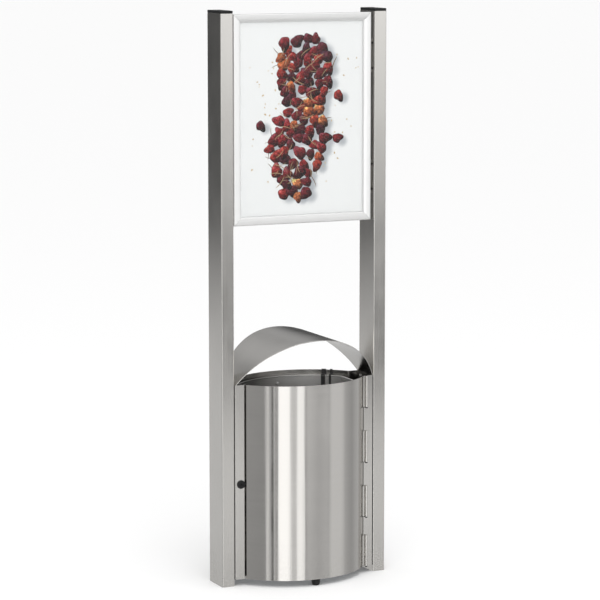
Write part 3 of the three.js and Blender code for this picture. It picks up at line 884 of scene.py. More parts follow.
class StampTree:
    """Geometry Nodes that set one shape on many points, each with its own turn, size and tone."""

    def __init__(self, shop: Workshop) -> None:
        """Build the tree.

        Args:
            shop: The workshop that the results are handed in to.
        """
        self.shop = shop
        self.tree = bpy.data.node_groups.new("set_on_points", "GeometryNodeTree")
        kinds = {"Points": "Geometry", "Shape": "Object", "Finish": "Material", "Size": "Float",
                 "Spread": "Float", "Seed": "Int"}
        for name, kind in kinds.items():
            self.tree.interface.new_socket(name, in_out="INPUT", socket_type=f"NodeSocket{kind}")
        self.tree.interface.new_socket("Pieces", in_out="OUTPUT", socket_type="NodeSocketGeometry")
        sheet = NodeSheet(self.tree)
        given = sheet.add("NodeGroupInput").outputs
        shape = sheet.out("GeometryNodeObjectInfo", {"Object": given["Shape"]}, "Geometry",
                          transform_space="ORIGINAL")
        turn = sheet.out("GeometryNodeInputNamedAttribute", {"Name": "turn"}, data_type="FLOAT_VECTOR")
        size = sheet.out("GeometryNodeInputNamedAttribute", {"Name": "size"}, data_type="FLOAT")
        least, most = (sheet.maths(sign, 1.0, given["Spread"]) for sign in ("SUBTRACT", "ADD"))
        vary = self.chance(sheet, least, most, given["Seed"])
        scale = sheet.maths("MULTIPLY", sheet.maths("MULTIPLY", size, vary), given["Size"])
        placed = sheet.out("GeometryNodeInstanceOnPoints", {
            "Points": given["Points"], "Instance": shape, "Scale": scale,
            "Rotation": sheet.out("FunctionNodeEulerToRotation", {0: turn})})
        tone = self.chance(sheet, 0.0, 1.0, sheet.maths("ADD", given["Seed"], 7.0))
        middle = sheet.out("GeometryNodeInputPosition")
        for name, value, kind in (("tone", tone, "FLOAT"), ("middle", middle, "FLOAT_VECTOR")):
            inputs = {"Geometry": placed, "Name": name, "Value": value}
            placed = sheet.out("GeometryNodeStoreNamedAttribute", inputs, data_type=kind, domain="INSTANCE")
        real = sheet.out("GeometryNodeRealizeInstances", {0: placed})
        dressed = sheet.out("GeometryNodeSetMaterial", {"Geometry": real, "Material": given["Finish"]})
        sheet.add("NodeGroupOutput", {0: dressed})

    def chance(self, sheet: NodeSheet, least: object, most: object, seed: Socket) -> Socket:
        """A random number for each point, from least to most."""
        return sheet.out("FunctionNodeRandomValue", {2: least, 3: most, "Seed": seed}, 1, data_type="FLOAT")

    def stamp(self, name: str, spots: Sequence[Spot], shape: Piece, finish: Finish, size: float = 1.0,
              spread: float = 0.0, seed: int = 1, smooth: bool = False) -> None:
        """Set a shape on every spot, and hand the result in as one plain mesh on the stand.

        Args:
            name: The new object's name.
            spots: Place, turn in radians and size of each copy.
            shape: The shape, built about the origin; it is removed afterwards.
            finish: The copies' finish.
            size: Size of all copies.
            spread: How much the size varies.
            seed: Seed of the variation.
            smooth: Whether the copies are shaded smoothly.
        """
        mesh = bpy.data.meshes.new(name)
        mesh.from_pydata([tuple(place) for place, _, _ in spots], [], [])
        turns = mesh.attributes.new("turn", "FLOAT_VECTOR", "POINT")
        turns.data.foreach_set("vector", [angle for _, turn, _ in spots for angle in turn])
        sizes = mesh.attributes.new("size", "FLOAT", "POINT")
        sizes.data.foreach_set("value", [scale for _, _, scale in spots])
        made = linked(name, mesh)
        modifier = made.modifiers.new("set_on_points", "NODES")
        modifier.node_group = self.tree
        values = {"Shape": shape, "Finish": finish.material(), "Size": size, "Spread": spread, "Seed": seed}
        for item in self.tree.interface.items_tree:
            if item.name in values:
                modifier[item.identifier] = values[item.name]
        self.shop.baked(made)
        bpy.data.objects.remove(shape)
        self.shop.hand_in(self.shop.soften(made, 0.0) if smooth else made, finish, Body.STAND)


# ------------------------------------------------------------------ places in space
def upright(u: float, v: float, w: float) -> Vector:
    """Section in plan, drawn upwards."""
    return Vector((u, v, w))


def frontal(u: float, v: float, w: float) -> Vector:
    """Section seen from the front, drawn backwards."""
    return Vector((u, w, v))


def even(low: float, high: float, steps: int) -> list[float]:
    """Evenly spaced places, ends included."""
    return [low + (high - low) * i / steps for i in range(steps + 1)]


# ------------------------------------------------------------------ sub-assemblies
@dataclass
class SubAssembly:
    """What every sub-assembly works with."""

    shop: Workshop
    stamps: StampTree

    def build(self) -> None:
        """Build the pieces; each sub-assembly has its own."""
        raise NotImplementedError

    def rising(self, name: str, node: str, path: Sequence[Point2], wall: float, steps: int,
               closed: bool = False) -> Piece:
        """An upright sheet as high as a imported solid."""
        low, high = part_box(node)
        return self.shop.sheet(name, path, wall, lambda _p: even(low.z, high.z, steps), upright, closed)


@dataclass
class Posts(SubAssembly):
    """Two rectangular tubes with a flat black cap on top and a plug in the foot."""

    wall: float = 2.5 * MM
    corner: float = 3.0 * MM
    corner_steps: int = 8

    def section(self, node: str) -> list[Point2]:
        """The tube's outline in plan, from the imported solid's box.

        Args:
            node: The solid's name.

        Returns:
            The outline, anticlockwise from above.
        """
        low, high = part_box(node)
        r = self.corner
        corners = {0: (high.x - r, high.y - r), 90: (low.x + r, high.y - r), 180: (low.x + r, low.y + r),
                   270: (high.x - r, low.y + r)}
        return [point for start, centre in corners.items()
                for point in flat_arc(centre, r, start, start + 90, self.corner_steps)]

    def build(self) -> None:
        """Build the posts, caps and plugs."""
        for side in ("left", "right"):
            node = f"{side}_post"
            tube = self.rising(f"{side}_post_tube", node, self.section(node), self.wall, 6, closed=True)
            self.shop.hand_in(self.shop.soften(tube, 0.3 * MM, 2, 50.0), POST_STEEL, Body.STAND, [node])
            self.shop.refined(f"{side}_post_lid", [f"{side}_post_cap"], BLACK, width=1.1 * MM)
            self.shop.refined(f"{side}_post_plug", [f"{side}_post_foot_plug"], BLACK, width=0.6 * MM)


@dataclass
class Hood(SubAssembly):
    """Arched sheet over the mouth, its front and rear edges bowed in plan."""

    thickness: float = 2.0 * MM
    peak: float = 747.0 * MM
    spring: float = 611.3 * MM
    half_span: float = 227.4 * MM
    overhang: float = 156.0 * MM
    edge_half: float = 229.4 * MM
    post_front: float = 50.0 * MM
    flange_reach: float = 47.7 * MM
    flange_bottom: float = 586.3 * MM
    steps: int = 96

    def path(self) -> list[Point2]:
        """Section of the hood's outer face, seen from the front.

        Returns:
            The section, right to left.
        """
        rise = self.peak - self.spring
        radius = (self.half_span**2 + rise**2) / (2 * rise)
        half = math.degrees(math.asin(self.half_span / radius))
        arch = flat_arc((0.0, self.peak - radius), radius, 90 - half, 90 + half, self.steps)
        points = [(self.half_span, self.flange_bottom), *arch, (-self.half_span, self.flange_bottom)]
        return rounded(points, {1: 4 * MM, len(points) - 2: 4 * MM}, 4)

    def reach(self, x: float) -> float:
        """How far the bowed edge stands from the middle plane.

        Args:
            x: Where across the hood.

        Returns:
            The distance.
        """
        bow = self.overhang - self.post_front
        radius = (self.edge_half**2 + bow**2) / (2 * bow)
        return math.sqrt(radius**2 - x**2) - radius + self.overhang

    def stations(self, point: Point2) -> list[float]:
        """Places from front to back for a point of the section."""
        reach = self.reach(point[0]) if point[1] > self.spring - 0.5 * MM else self.flange_reach
        return even(-reach, reach, 16)

    def build(self) -> None:
        """Build the hood and its four bolts."""
        hood = self.shop.sheet("hood_arch", self.path(), self.thickness, self.stations, frontal)
        self.shop.hand_in(self.shop.soften(hood, 0.45 * MM, 2, 40.0), HOOD_STEEL, Body.STAND, ["hood"])
        nodes = [f"hood_bolt_{side}_{end}" for side in ("left", "right") for end in ("front", "rear")]
        self.shop.refined("hood_bolts", nodes, BOLT_STEEL, width=0.25 * MM)


@dataclass
class BinBody(SubAssembly):
    """Jambs, rear shell and floor of the bin, with the liner, its straps and black strips of painted shadow
    in the jamb joints.
    """

    radius: float = 247.0 * MM
    centre: float = 99.0 * MM
    thickness: float = 2.0 * MM
    flange_x: float = 226.7 * MM
    flange_y: float = 52.3 * MM
    liner_radius: float = 231.5 * MM
    liner_half: float = 173.5 * MM
    liner_corner: float = 9.0 * MM
    liner_wall: float = 1.5 * MM
    rim_radius: float = 2.6 * MM
    rivet_x: float = -9.0 * MM
    rivet_z: float = 574.0 * MM
    rivet_profile: tuple[Point2, ...] = (
        (0.0, -0.4), (6.0, -0.4), (6.0, 0.3), (4.6, 1.9), (2.2, 2.7), (0.0, 3.0),
    )
    # A black strip in each joint between a jamb and its post is painted shadow, put where the gap is only
    # shade: its width, how far it stands in front of the jamb and how far it reaches back.
    shadow_strip_width: float = 1.9 * MM
    shadow_strip_proud: float = 0.25 * MM
    shadow_strip_depth: float = 0.6 * MM
    strap: float = 1.5 * MM
    strap_air: float = 0.3 * MM
    strap_hook: float = 10.0 * MM
    strap_angles: tuple[Point2, ...] = ((54.6, 57.8), (49.9, 51.6))

    def rear_path(self) -> list[Point2]:
        """Section of the rear shell's outer face in plan.

        Returns:
            The section, right to left.
        """
        meet = math.sqrt(self.radius**2 - (self.flange_y + self.centre) ** 2)
        half = math.degrees(math.asin(meet / self.radius))
        bulge = flat_arc((0.0, -self.centre), self.radius, 90 - half, 90 + half, 112)
        points = [(self.flange_x, self.flange_y), *bulge, (-self.flange_x, self.flange_y)]
        return rounded(points, {1: 3 * MM, len(points) - 2: 3 * MM}, 4)

    def liner_path(self) -> list[Point2]:
        """Plan of the liner's outer face.

        Returns:
            The plan, all round.
        """
        half = math.degrees(math.asin(self.liner_half / self.liner_radius))
        front = flat_arc((0.0, self.centre), self.liner_radius, -90 - half, -90 + half, 72)
        rear = flat_arc((0.0, -self.centre), self.liner_radius, 90 - half, 90 + half, 72)
        corners = dict.fromkeys((len(front) - 1, len(front)), self.liner_corner)
        return rounded([*front, *rear], corners)

    def build(self) -> None:
        """Build the shell, jambs, black strips of painted shadow in the joints, floor, liner and straps."""
        shell = self.rising("rear_shell_sheet", "rear_shell", self.rear_path(), self.thickness, 8)
        self.shop.hand_in(self.shop.soften(shell, 0.4 * MM, 2, 40.0), DOOR_STEEL, Body.STAND, ["rear_shell"])
        for side in ("left", "right"):
            self.shop.refined(f"{side}_jamb_channel", [f"{side}_jamb"], POST_STEEL, width=1.5 * MM)
            self.build_shadow_strip(side)
        self.shop.refined("floor_plate", ["bin_floor"], ZINC, width=0.4 * MM)
        self.build_liner()
        self.build_straps()

    def build_shadow_strip(self, side: str) -> None:
        """Build the black strip that paints the shadow in the joint between a jamb and its post.

        Args:
            side: Which jamb.
        """
        low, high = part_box(f"{side}_jamb")
        outer = low.x if side == "left" else high.x
        inner = outer + math.copysign(self.shadow_strip_width, -outer)
        front, back = low.y - self.shadow_strip_proud, low.y + self.shadow_strip_depth
        outline = [(outer, front), (inner, front), (inner, back), (outer, back)]
        shadow_strip = self.shop.plate(f"{side}_joint_seal", outline, low.z, high.z)
        # The strip is black as painted shadow in the joint.
        self.shop.hand_in(self.shop.soften(shadow_strip, 0.2 * MM), BLACK, Body.STAND)

    def build_straps(self) -> None:
        """Build the two straps that hook the liner over the rear shell's rim."""
        low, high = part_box("liner_clip")
        outside = self.radius + self.strap + self.strap_air
        inside = self.radius - self.thickness - self.strap_air - self.strap
        pan = self.liner_radius - self.liner_wall - self.strap_air - self.strap
        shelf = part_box("liner")[1].z + self.strap + self.strap_air
        path = [(outside, high.z - self.strap_hook), (outside, high.z), (inside, high.z), (inside, shelf),
                (pan, shelf), (pan, low.z)]
        path = rounded(path, dict.fromkeys((1, 2, 4), 0.9 * MM), 3)
        straps = []
        for start, end in self.strap_angles:
            turns = even(math.radians(start), math.radians(end), 4)
            straps.append(self.shop.sheet("strap", path, self.strap, lambda _p, turns=turns: turns,
                                          self.around_rear))
        hook = self.shop.joined("liner_hook_straps", straps)
        self.shop.hand_in(self.shop.soften(hook, 0.3 * MM), STRAP_STEEL, Body.STAND, ["liner_clip"])

    def around_rear(self, radius: float, height: float, turn: float) -> Vector:
        """A point by its distance and angle from the rear shell's axis."""
        return Vector((radius * math.cos(turn), radius * math.sin(turn) - self.centre, height))

    def build_liner(self) -> None:
        """Build the liner: wall, rolled rim, bottom and rivets."""
        low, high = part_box("liner")
        path = self.liner_path()
        top = high.z - self.rim_radius
        wall = self.shop.sheet("liner_wall", path, self.liner_wall, lambda _p: even(low.z, top, 8), upright,
                               closed=True)
        rolled = self.rim(offset_path(path, self.liner_wall / 2, True), top)
        inner = offset_path(path, self.liner_wall * 0.6, True)
        bottom = self.shop.plate("liner_bottom", inner, low.z + 0.2 * MM, low.z + 1.7 * MM)
        liner = self.shop.joined("liner_pan", [self.shop.soften(wall, 0.2 * MM, 1, 50.0), rolled, bottom])
        self.shop.hand_in(self.shop.soften(liner, 0.0), LINER_STEEL, Body.STAND, ["liner"])
        head = self.shop.turned("rivet_head", [(r * MM, h * MM) for r, h in self.rivet_profile], 20)
        bow = self.rivet_x**2 / (2 * self.liner_radius)
        reach = self.liner_radius - self.liner_wall - self.centre - bow
        spots = []
        for face in (1, -1):
            turn = Vector((math.radians(90) * face, 0, 0))
            spots.append((Vector((self.rivet_x, face * reach, self.rivet_z)), turn, 1.0))
        self.stamps.stamp("liner_rivets", spots, head, RIVET_ALUMINIUM, smooth=True)

    def rim(self, middle: Sequence[Point2], height: float) -> Piece:
        """The rolled rim: a small ring swept round the liner's edge.

        Args:
            middle: Plan of the wall's middle.
            height: Height of the roll's centre.

        Returns:
            The rim.
        """
        work = bmesh.new()
        ring = flat_arc((0.0, 0.0), self.rim_radius, 0, 330, 11)
        loops = []
        for here, beyond in zip(middle, offset_path(middle, -1.0 * MM, True)):
            side = (Vector(beyond) - Vector(here)).normalized()
            loops.append([work.verts.new((here[0] + side.x * u, here[1] + side.y * u, height + v))
                          for u, v in ring])
        for one, two in zip(loops, [*loops[1:], loops[0]]):
            strip(work, one, two)
        return object_of("liner_rim", work)


@dataclass
class Door(SubAssembly):
    """Bowed door skin with return flanges, its ribs and catch."""

    radius: float = 247.0 * MM
    centre: float = 99.0 * MM
    half: float = 193.5 * MM
    flange_y: float = -36.0 * MM
    thickness: float = 2.0 * MM

    def path(self) -> list[Point2]:
        """Section of the door's outer face in plan.

        Returns:
            The section, left to right.
        """
        angle = math.degrees(math.asin(self.half / self.radius))
        bulge = flat_arc((0.0, self.centre), self.radius, -90 - angle, -90 + angle, 120)
        points = [(-self.half, self.flange_y), *bulge, (self.half, self.flange_y)]
        return rounded(points, {1: 2.4 * MM, len(points) - 2: 2.4 * MM}, 5)

    def build(self) -> None:
        """Build the door's pieces."""
        skin = self.rising("door_bulge", "door_skin", self.path(), self.thickness, 10)
        self.shop.hand_in(self.shop.soften(skin, 0.4 * MM, 2, 40.0), DOOR_STEEL, Body.DOOR, ["door_skin"])
        self.shop.refined("door_ribs", ["door_lower_rib", "door_upper_rib"], ZINC, Body.DOOR)
        self.shop.refined("door_catch_plate", ["door_catch"], ZINC, Body.DOOR)


@dataclass
class Hinges(SubAssembly):
    """Four lift-off hinges down the right side of the mouth."""

    count: int = 4
    feather: float = 0.12 * MM
    edge: float = 0.25 * MM

    def nodes(self, kind: str) -> list[str]:
        """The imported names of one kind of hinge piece."""
        return [f"hinge_{i}_{kind}" for i in range(1, self.count + 1)]

    def build(self) -> None:
        """Build the leaves, those on the post feathered towards their outer edge, and the pins."""
        nodes = self.nodes("fixed_leaf")
        leaves = self.shop.cad_copy("hinge_post_leaves", nodes, 0.5)
        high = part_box(nodes[0])[1]
        for vertex in leaves.data.vertices:
            if vertex.co.x > high.x - 1.0 * MM:
                vertex.co.y = max(vertex.co.y, high.y - self.feather)
        self.shop.hand_in(self.shop.soften(leaves, 0.15 * MM), POST_STEEL, Body.STAND, nodes)
        self.shop.refined("hinge_door_leaves", self.nodes("door_leaf"), POST_STEEL, Body.DOOR, self.edge, 0.5)
        self.shop.refined("hinge_pins", self.nodes("pin"), BLACK, Body.STAND, self.edge, 0.5)


@dataclass
class Lock(SubAssembly):
    """Cam lock on the left side of the mouth."""

    edge: float = 0.3 * MM

    def build(self) -> None:
        """Build the lock's pieces."""
        self.shop.refined("lock_shell", ["lock_housing"], BLACK, Body.STAND, self.edge, 0.5)
        self.shop.refined("lock_ring_nut", ["lock_nut"], ZINC, Body.STAND, self.edge, 0.5)
        self.shop.refined("lock_barrel_insert", ["lock_insert"], BLACK, Body.LOCK_BARREL, self.edge, 0.5)
        self.shop.refined("lock_cam_arm", ["lock_cam"], ZINC, Body.LOCK_BARREL, self.edge, 0.5)


@dataclass
class Feet(SubAssembly):
    """Two screw feet under the bin."""

    edge: float = 0.3 * MM

    def build(self) -> None:
        """Build the pads, studs and nuts."""
        for end, body in (("front", Body.FRONT_FOOT), ("rear", Body.REAR_FOOT)):
            foot = f"{end}_foot"
            self.shop.refined(f"{foot}_rubber", [f"{foot}_pad"], BLACK, body, self.edge, 0.5)
            self.shop.refined(f"{foot}_screw", [f"{foot}_stud"], BOLT_STEEL, body, self.edge, 0.5)
            self.shop.refined(f"{foot}_lock_nut", [f"{foot}_nut"], BOLT_STEEL, Body.STAND, self.edge, 0.5)


@dataclass
class PosterFrame(SubAssembly):
    """Frame of snap profiles with a backing board, brackets and spacers to the posts."""

    spacer_heights: tuple[float, ...] = (1.617, 1.541, 1.253, 1.177)
    spacer_y: float = -29.0 * MM
    spacer_x: float = 225.0 * MM
    spacer_profile: tuple[Point2, ...] = (
        (0.0, 0.0), (2.9, 0.0), (2.9, 1.6), (2.2, 2.0), (2.2, 3.4), (2.9, 3.8), (2.9, 5.0), (0.0, 5.0),
    )
    edge: float = 0.25 * MM

    def build(self) -> None:
        """Build the profiles, board, brackets and spacers."""
        bodies = {"top": Body.TOP_FLIP, "right": Body.RIGHT_FLIP, "bottom": Body.BOTTOM_FLIP,
                  "left": Body.LEFT_FLIP}
        for place, body in bodies.items():
            # Level profiles get the darker painted-shade copy, upright ones the lighter painted-light copy.
            finish = SILVER_LEVEL_SHADED if place in ("top", "bottom") else SILVER_UPRIGHT_LIT
            self.shop.refined(f"snap_profile_{place}", [f"frame_flip_rail_{place}"], finish, body, self.edge)
            # The base profiles get the dark copy that paints the shadow line inside the frame.
            self.shop.refined(f"base_profile_{place}", [f"frame_fixed_rail_{place}"], SILVER_BASE_SHADOW,
                              width=self.edge)
        self.shop.refined("backing_board_panel", ["frame_back_panel"], BOARD)
        for corner in ("upper_left", "upper_right", "lower_left", "lower_right"):
            self.shop.refined(f"{corner}_angle", [f"{corner}_frame_bracket"], FITTING_STEEL, width=0.5 * MM)
        spool = self.shop.turned("spacer", [(r * MM, h * MM) for r, h in self.spacer_profile], 20)
        spots = []
        for sign in (-1, 1):
            turn = Vector((0, sign * math.radians(90), 0))
            for height in self.spacer_heights:
                spots.append((Vector((sign * self.spacer_x, self.spacer_y, height)), turn, 1.0))
        self.stamps.stamp("frame_spacers", spots, spool, BLACK, smooth=True)


def fruit_edge(a: float) -> Point2:
    """Edge of a shrivelled fruit: round below, drawn out to a dry tip above.

    Args:
        a: Angle about the middle.

    Returns:
        The point.
    """
    wrinkled = 1.0 + 0.07 * math.cos(3 * a + 0.6) + 0.05 * math.sin(5 * a + 1.0)
    edge = wrinkled + 0.42 * max(0.0, math.sin(a)) ** 7
    return edge * math.cos(a) * 0.92, edge * math.sin(a)


def seed_edge(a: float) -> Point2:
    """Edge of a seed by angle."""
    return 0.62 * math.cos(a), math.sin(a)


def stalk_edge(a: float) -> Point2:
    """Edge of a bent stalk by angle."""
    return 0.06 * math.cos(a) + 0.16 * math.sin(a) ** 2, math.sin(a)


@dataclass(frozen=True)
class Strewn:
    """Small printed things strewn beside the garland or in it; spread is in half widths from its edge."""

    name: str
    edge: Callable[[float], Point2]
    sides: int
    ink: Finish
    count: int
    spread: float
    size: float
    vary: float
    seed: int
    depth: float = 0.015 * MM


@dataclass
class Poster(SubAssembly):
    """The paper in the frame, a generic print of dried fruit in a loose column, and the clear cover."""

    seed: int = 23
    count: int = 84
    tries: int = 9000
    apart: float = 12.8 * MM
    fruit: float = 18.0 * MM
    half_height: float = 238.0 * MM
    columns: int = 96
    rows: int = 136
    shift: Point2 = (-6.0 * MM, 4.0 * MM)
    cast: Point2 = (17.0 * MM, -9.0 * MM)
    strays: tuple[Triple, ...] = ((126.0, 62.0, 0.9), (-128.0, -22.0, 0.85), (122.0, -66.0, 0.85))
    rings: tuple[float, ...] = (1.0, 0.84, 0.56, 0.28)
    thin: float = 0.05 * MM
    strewn: tuple[Strewn, ...] = (
        Strewn("poster_print_seeds", seed_edge, 10, SEED_INK, 46, 1.1, 2.9 * MM, 0.2, 5),
        Strewn("poster_print_stalks", stalk_edge, 24, STALK_INK, 26, 0.1, 18 * MM, 0.3, 9),
        Strewn("poster_print_twigs", stalk_edge, 24, TWIG_INK, 60, -1.9, 15 * MM, 0.3, 11, 0.19 * MM),
    )
    spots: list[Triple] = field(default_factory=list)
    middle: Point2 = (0.0, 0.0)

    def garland(self, t: float) -> Point2:
        """The loose upright garland.

        Args:
            t: Place along it, -1 at the foot and 1 at the top.

        Returns:
            Offset from the middle of the paper, and half width.
        """
        drift = 16 * MM * math.sin(2.6 * t + 0.4)
        return drift, (76 + 14 * math.cos(6.2 * t + 2.0)) * MM * (1 - 0.4 * t**6)

    def lay_out(self) -> None:
        """Choose the place and size of every fruit, in the paper's plane."""
        dice = random.Random(self.seed)
        low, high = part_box("poster_sheet")
        self.middle = ((low.x + high.x) / 2 + self.shift[0], (low.z + high.z) / 2 + self.shift[1])
        for _ in range(self.tries):
            t = dice.uniform(-1.0, 1.0)
            drift, half = self.garland(t)
            x = self.middle[0] + drift + half * dice.uniform(-1.0, 1.0)
            z = self.middle[1] + t * self.half_height
            size = dice.uniform(0.78, 1.18)
            near = min((math.hypot(x - a, z - b) / (size + c) for a, b, c in self.spots), default=1.0)
            if near > self.apart and len(self.spots) < self.count:
                self.spots.append((x, z, size))
        for x, z, size in self.strays:
            self.spots.append((self.middle[0] + x * MM, self.middle[1] + z * MM, size))

    def shadow(self, x: float, z: float) -> float:
        """Depth of the soft printed shadow at a point of the paper.

        Args:
            x: Across.
            z: Height.

        Returns:
            Shade from 0 to 1.
        """
        depth = 0.0
        for a, b, size in self.spots:
            away = math.hypot(x - a - self.cast[0], z - b - self.cast[1]) / (self.fruit * size)
            if away < 2.2:
                depth += 0.75 * math.exp(-(away**4) * 0.8)
        return min(0.8, depth)

    def build_paper(self) -> None:
        """Build the paper, with the print's soft shadows as an attribute of its own mesh."""
        low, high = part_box("poster_sheet")
        work = bmesh.new()
        grid = [[work.verts.new((x, low.y, z)) for z in even(low.z, high.z, self.rows)]
                for x in even(low.x, high.x, self.columns)]
        for one, two in zip(grid, grid[1:]):
            strip(work, one, two, closed=False)
        rim = [*[column[0] for column in grid], *grid[-1][1:], *[column[-1] for column in grid[-2::-1]],
               *grid[0][-2:0:-1]]
        back = [work.verts.new((v.co.x, high.y, v.co.z)) for v in rim]
        strip(work, rim, back)
        work.faces.new(back)
        sheet = object_of("poster_print_paper", work)
        shade = sheet.data.attributes.new("shade", "FLOAT", "POINT")
        shade.data.foreach_set("value", [self.shadow(v.co.x, v.co.z) for v in sheet.data.vertices])
        self.shop.hand_in(sheet, PAPER, Body.STAND, ["poster_sheet"])

    def flake(self, outline: Callable[[float], Point2], sides: int) -> Piece:
        """A very thin printed relief, with its folds as an attribute.

        Args:
            outline: The edge by angle, about the middle, of unit size.
            sides: Points round the edge.

        Returns:
            The shape, facing the front.
        """
        work = bmesh.new()
        thin = self.thin / self.fruit
        fold = work.verts.layers.float.new("fold")
        loops = []
        for ring in self.rings:
            loops.append([])
            for a in (2 * math.pi * i / sides for i in range(sides)):
                u, v = outline(a)
                vertex = work.verts.new((ring * u, -thin * (1.15 - ring), ring * v))
                vertex[fold] = 0.1 if ring == 1.0 else 0.75 + 0.3 * math.cos(4 * a + ring * 5)
                loops[-1].append(vertex)
        heart = work.verts.new((0.0, -thin * 1.2, 0.0))
        heart[fold] = 0.8
        for outer, inner in zip(loops, [*loops[1:], [heart] * sides]):
            strip(work, outer, inner)
        work.faces.new(loops[0][::-1])
        return object_of("flake", work)

    def scatter(self, dice: random.Random, things: Strewn) -> list[Spot]:
        """Places of strewn things.

        Args:
            dice: The generator of chance.
            things: What is strewn.

        Returns:
            Place, turn and size of each.
        """
        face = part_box("poster_sheet")[0].y
        made = []
        for _ in range(things.count):
            t = dice.uniform(-0.85, 0.85)
            drift, half = self.garland(t)
            side = dice.choice((-1, 1))
            x = self.middle[0] + drift + side * (half + dice.uniform(0.0, things.spread) * half)
            turn = Vector((0, dice.uniform(0, 2 * math.pi), 0))
            place = Vector((x, face - things.depth, self.middle[1] + t * self.half_height))
            made.append((place, turn, dice.uniform(0.7, 1.3)))
        return made

    def build(self) -> None:
        """Build the paper and the print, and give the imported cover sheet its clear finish."""
        self.lay_out()
        self.build_paper()
        dice = random.Random(self.seed + 1)
        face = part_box("poster_sheet")[0].y
        spots = []
        for i, (x, z, size) in enumerate(self.spots):
            depth = face - (0.03 + 0.16 * i / len(self.spots)) * MM
            spots.append((Vector((x, depth, z)), Vector((0, dice.uniform(0, 2 * math.pi), 0)), size))
        shape = self.flake(fruit_edge, 28)
        self.stamps.stamp("poster_print_fruit", spots, shape, FRUIT, self.fruit, 0.0, self.seed)
        for things in self.strewn:
            shape = self.flake(things.edge, things.sides)
            self.stamps.stamp(things.name, self.scatter(dice, things), shape, things.ink, things.size,
                              things.vary, things.seed)
        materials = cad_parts["poster_cover"].data.materials
        for index in range(len(materials)):
            materials[index] = COVER.material()


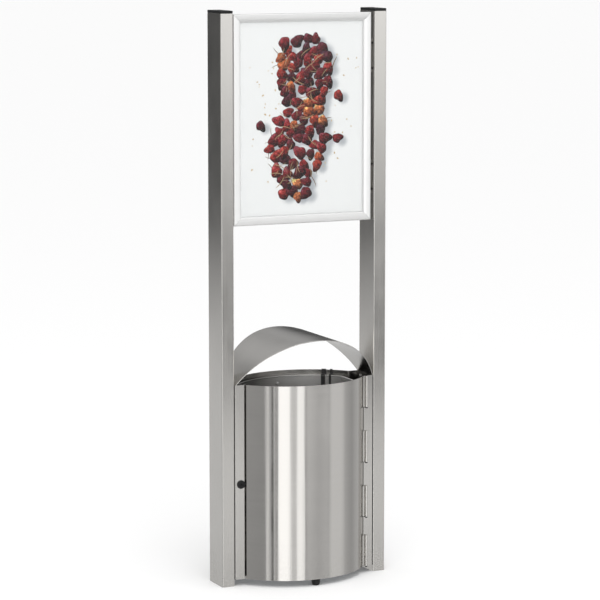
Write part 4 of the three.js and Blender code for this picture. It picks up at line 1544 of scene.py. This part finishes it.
# ------------------------------------------------------------------ studio
@dataclass
class Studio:
    """Plain pale floor, an even tent of light with a few tall soft panels, and the camera."""

    camera_place: Triple = (-3.474, -7.584, 2.034)
    yaw: float = -24.66
    pitch: float = -8.09
    lens: float = 168.0
    floor_half: float = 120.0
    floor_tone: Triple = (0.965, 0.965, 0.965)
    lamp_place: Triple = (-1.6, -4.2, 5.2)
    lamp_aim: Triple = (0.0, 0.0, 0.9)
    lamp_size: Point2 = (4.5, 3.0)
    lamp_watts: float = 90.0
    # Light round the object at eye level: azimuth in degrees from the front, towards the right, and level.
    panels: tuple[Point2, ...] = (
        (-128, 0.6), (-84, 0.42), (-50.4, 0.37), (-49.2, 1.1), (-47.2, 1.1), (-46.2, 0.72), (-43.4, 0.66),
        (-42.6, 0.08), (-39.4, 0.05), (-38.6, 1.2), (-37.2, 1.2), (-36.4, 0.24), (-33.8, 0.3), (-32.4, 1.75),
        (-16, 1.7), (-14.8, 0.84), (-6.8, 0.8), (-5.6, 1.52), (4.0, 1.52), (5.5, 0.39), (25, 0.3),
        (43, 0.34), (47, 0.84), (66, 0.84), (74, 0.56), (88, 0.43), (99, 0.56), (112, 0.62), (119, 0.26),
        (126, 0.2), (134, 0.6),
    )
    # Factors on it by elevation in degrees: one set for a sector to the front right, one for the rear.
    front_climb: tuple[Point2, ...] = (
        (-90, 0.8), (-25, 1.2), (-16, 1.5), (-12.6, 2.3), (-11.0, 3.6), (-10.3, 2.6), (-9.7, 0.1),
        (-7.9, 0.1), (-7.2, 1.5), (-5.6, 1.9), (-3.9, 3.0), (-2.0, 4.0), (8, 4.0), (25, 2.4), (90, 2.0),
    )
    back_climb: tuple[Point2, ...] = (
        (-90, 0.8), (-25, 0.95), (-14, 1.15), (-9.6, 1.2), (-8.2, 0.9), (-7.3, 0.5), (-6.2, 0.16), (5, 0.1),
        (9, 0.32), (15, 0.7), (18, 0.75), (21, 0.5), (23, 0.55), (26, 0.95), (33, 1.25), (90, 1.3),
    )
    # Where round the object, as a share of a full turn, those sets count.
    front_sector: tuple[Point2, ...] = ((0.515, 0.0), (0.525, 1.0), (0.61, 1.0), (0.63, 0.0))
    rear_sector: tuple[Point2, ...] = ((0.12, 1.0), (0.2, 0.0), (0.88, 0.0), (0.92, 1.0))
    # The most that a level, and a factor, may be; the ramps hold shares of them.
    most_light: float = 2.0
    most_climb: float = 4.0
    sky: tuple[Point2, ...] = (
        (-180, 0.5), (-120, 0.6), (-60, 0.85), (0, 0.85), (60, 0.75), (120, 0.6), (180, 0.5),
    )
    sky_from: tuple[Point2, Point2] = ((6, 28), (24, 48))
    zenith_from: Point2 = (48, 72)
    zenith: float = 1.9

    def build_world(self) -> None:
        """Build the light tent: panels at eye level, a soft sky above them and a bright zenith."""
        world = bpy.data.worlds.new("light_tent")
        bpy.context.scene.world = world
        world.use_nodes = True
        sheet = NodeSheet(world.node_tree)
        direction = sheet.out("ShaderNodeTexCoord", output="Generated")
        ray = sheet.add("ShaderNodeSeparateXYZ", {0: direction}).outputs
        azimuth = sheet.maths("ARCTAN2", ray[0], sheet.maths("MULTIPLY", ray[1], -1.0))
        turn = sheet.maths("MULTIPLY_ADD", azimuth, 1 / (2 * math.pi), 0.5)
        climb = sheet.maths("ARCSINE", ray[2])
        lift = sheet.maths("MULTIPLY_ADD", climb, 1 / math.pi, 0.5)
        panels, sky = ([((a + 180) / 360, level / self.most_light) for a, level in levels]
                       for levels in (self.panels, self.sky))
        around, above = sheet.ramp(turn, panels), sheet.ramp(turn, sky, ease=True)
        front, back = (sheet.ramp(lift, [((e + 90) / 180, factor / self.most_climb) for e, factor in climbs])
                       for climbs in (self.front_climb, self.back_climb))
        in_front, behind = (sheet.ramp(turn, sector) for sector in (self.front_sector, self.rear_sector))
        early, late = (sheet.span(climb, 0.0, 1.0, *map(math.radians, band)) for band in self.sky_from)
        high = sheet.maths("MULTIPLY_ADD", behind, sheet.maths("SUBTRACT", late, early), early)
        level = sheet.blend(in_front, (1 / self.most_climb,) * 3, front)
        low = sheet.tint(around, sheet.blend(behind, level, back))
        low = sheet.tint(low, (self.most_light * self.most_climb,) * 3)
        tent = sheet.blend(high, low, sheet.tint(above, (self.most_light,) * 3))
        crown = sheet.span(climb, 0.0, 1.0, *map(math.radians, self.zenith_from))
        lit = sheet.out("ShaderNodeBackground", {"Color": sheet.blend(crown, tent, (self.zenith,) * 3)})
        plain = sheet.out("ShaderNodeBackground", {"Color": rgba((1.0, 1.0, 1.0))})
        seen = sheet.out("ShaderNodeLightPath", output="Is Camera Ray")
        shader = sheet.out("ShaderNodeMixShader", {0: seen, 1: lit, 2: plain})
        sheet.add("ShaderNodeOutputWorld", {"Surface": shader})

    def build_floor(self) -> None:
        """Build the floor."""
        work = bmesh.new()
        half = self.floor_half
        corners = ((-half, -half), (half, -half), (half, half), (-half, half))
        work.faces.new([work.verts.new((x, y, 0.0)) for x, y in corners])
        floor = object_of("studio_floor", work, outward=False)
        material = bpy.data.materials.new("pale_floor")
        material.use_nodes = True
        sheet = NodeSheet(material.node_tree)
        shader = sheet.out("ShaderNodeBsdfDiffuse", {"Color": rgba(self.floor_tone)})
        sheet.add("ShaderNodeOutputMaterial", {"Surface": shader})
        floor.data.materials.append(material)
        floor.visible_glossy = False
        floor.visible_shadow = False

    def build_lamp(self) -> None:
        """Build the soft lamp above and in front."""
        light = bpy.data.lights.new("overhead_softbox", "AREA")
        light.shape = "RECTANGLE"
        light.size, light.size_y = self.lamp_size
        light.energy = self.lamp_watts
        lamp = linked("overhead_softbox", light)
        lamp.location = self.lamp_place
        lamp.rotation_euler = (Vector(self.lamp_aim) - lamp.location).to_track_quat("-Z", "Y").to_euler()
        lamp.visible_camera = False

    def build_camera(self) -> None:
        """Build the camera."""
        lens = bpy.data.cameras.new("view")
        lens.lens = self.lens
        lens.clip_end = 400.0
        camera = linked("view", lens)
        camera.location = self.camera_place
        camera.rotation_euler = (math.radians(90 + self.pitch), 0.0, math.radians(self.yaw))
        bpy.context.scene.camera = camera

    def build(self) -> None:
        """Build the studio."""
        bpy.context.scene.view_settings.view_transform = "Standard"
        self.build_world()
        self.build_floor()
        self.build_lamp()
        self.build_camera()


def main() -> None:
    """Build every sub-assembly in order, then the studio."""
    logging.basicConfig(level=logging.INFO, format="%(name)s: %(message)s")
    shop = Workshop()
    stamps = StampTree(shop)
    for kind in (Posts, Hood, BinBody, Door, Hinges, Lock, Feet, PosterFrame, Poster):
        kind(shop, stamps).build()
    Studio().build()
    LOG.info("%d pieces made", len(shop.made))


if __name__ == "__main__":
    main()
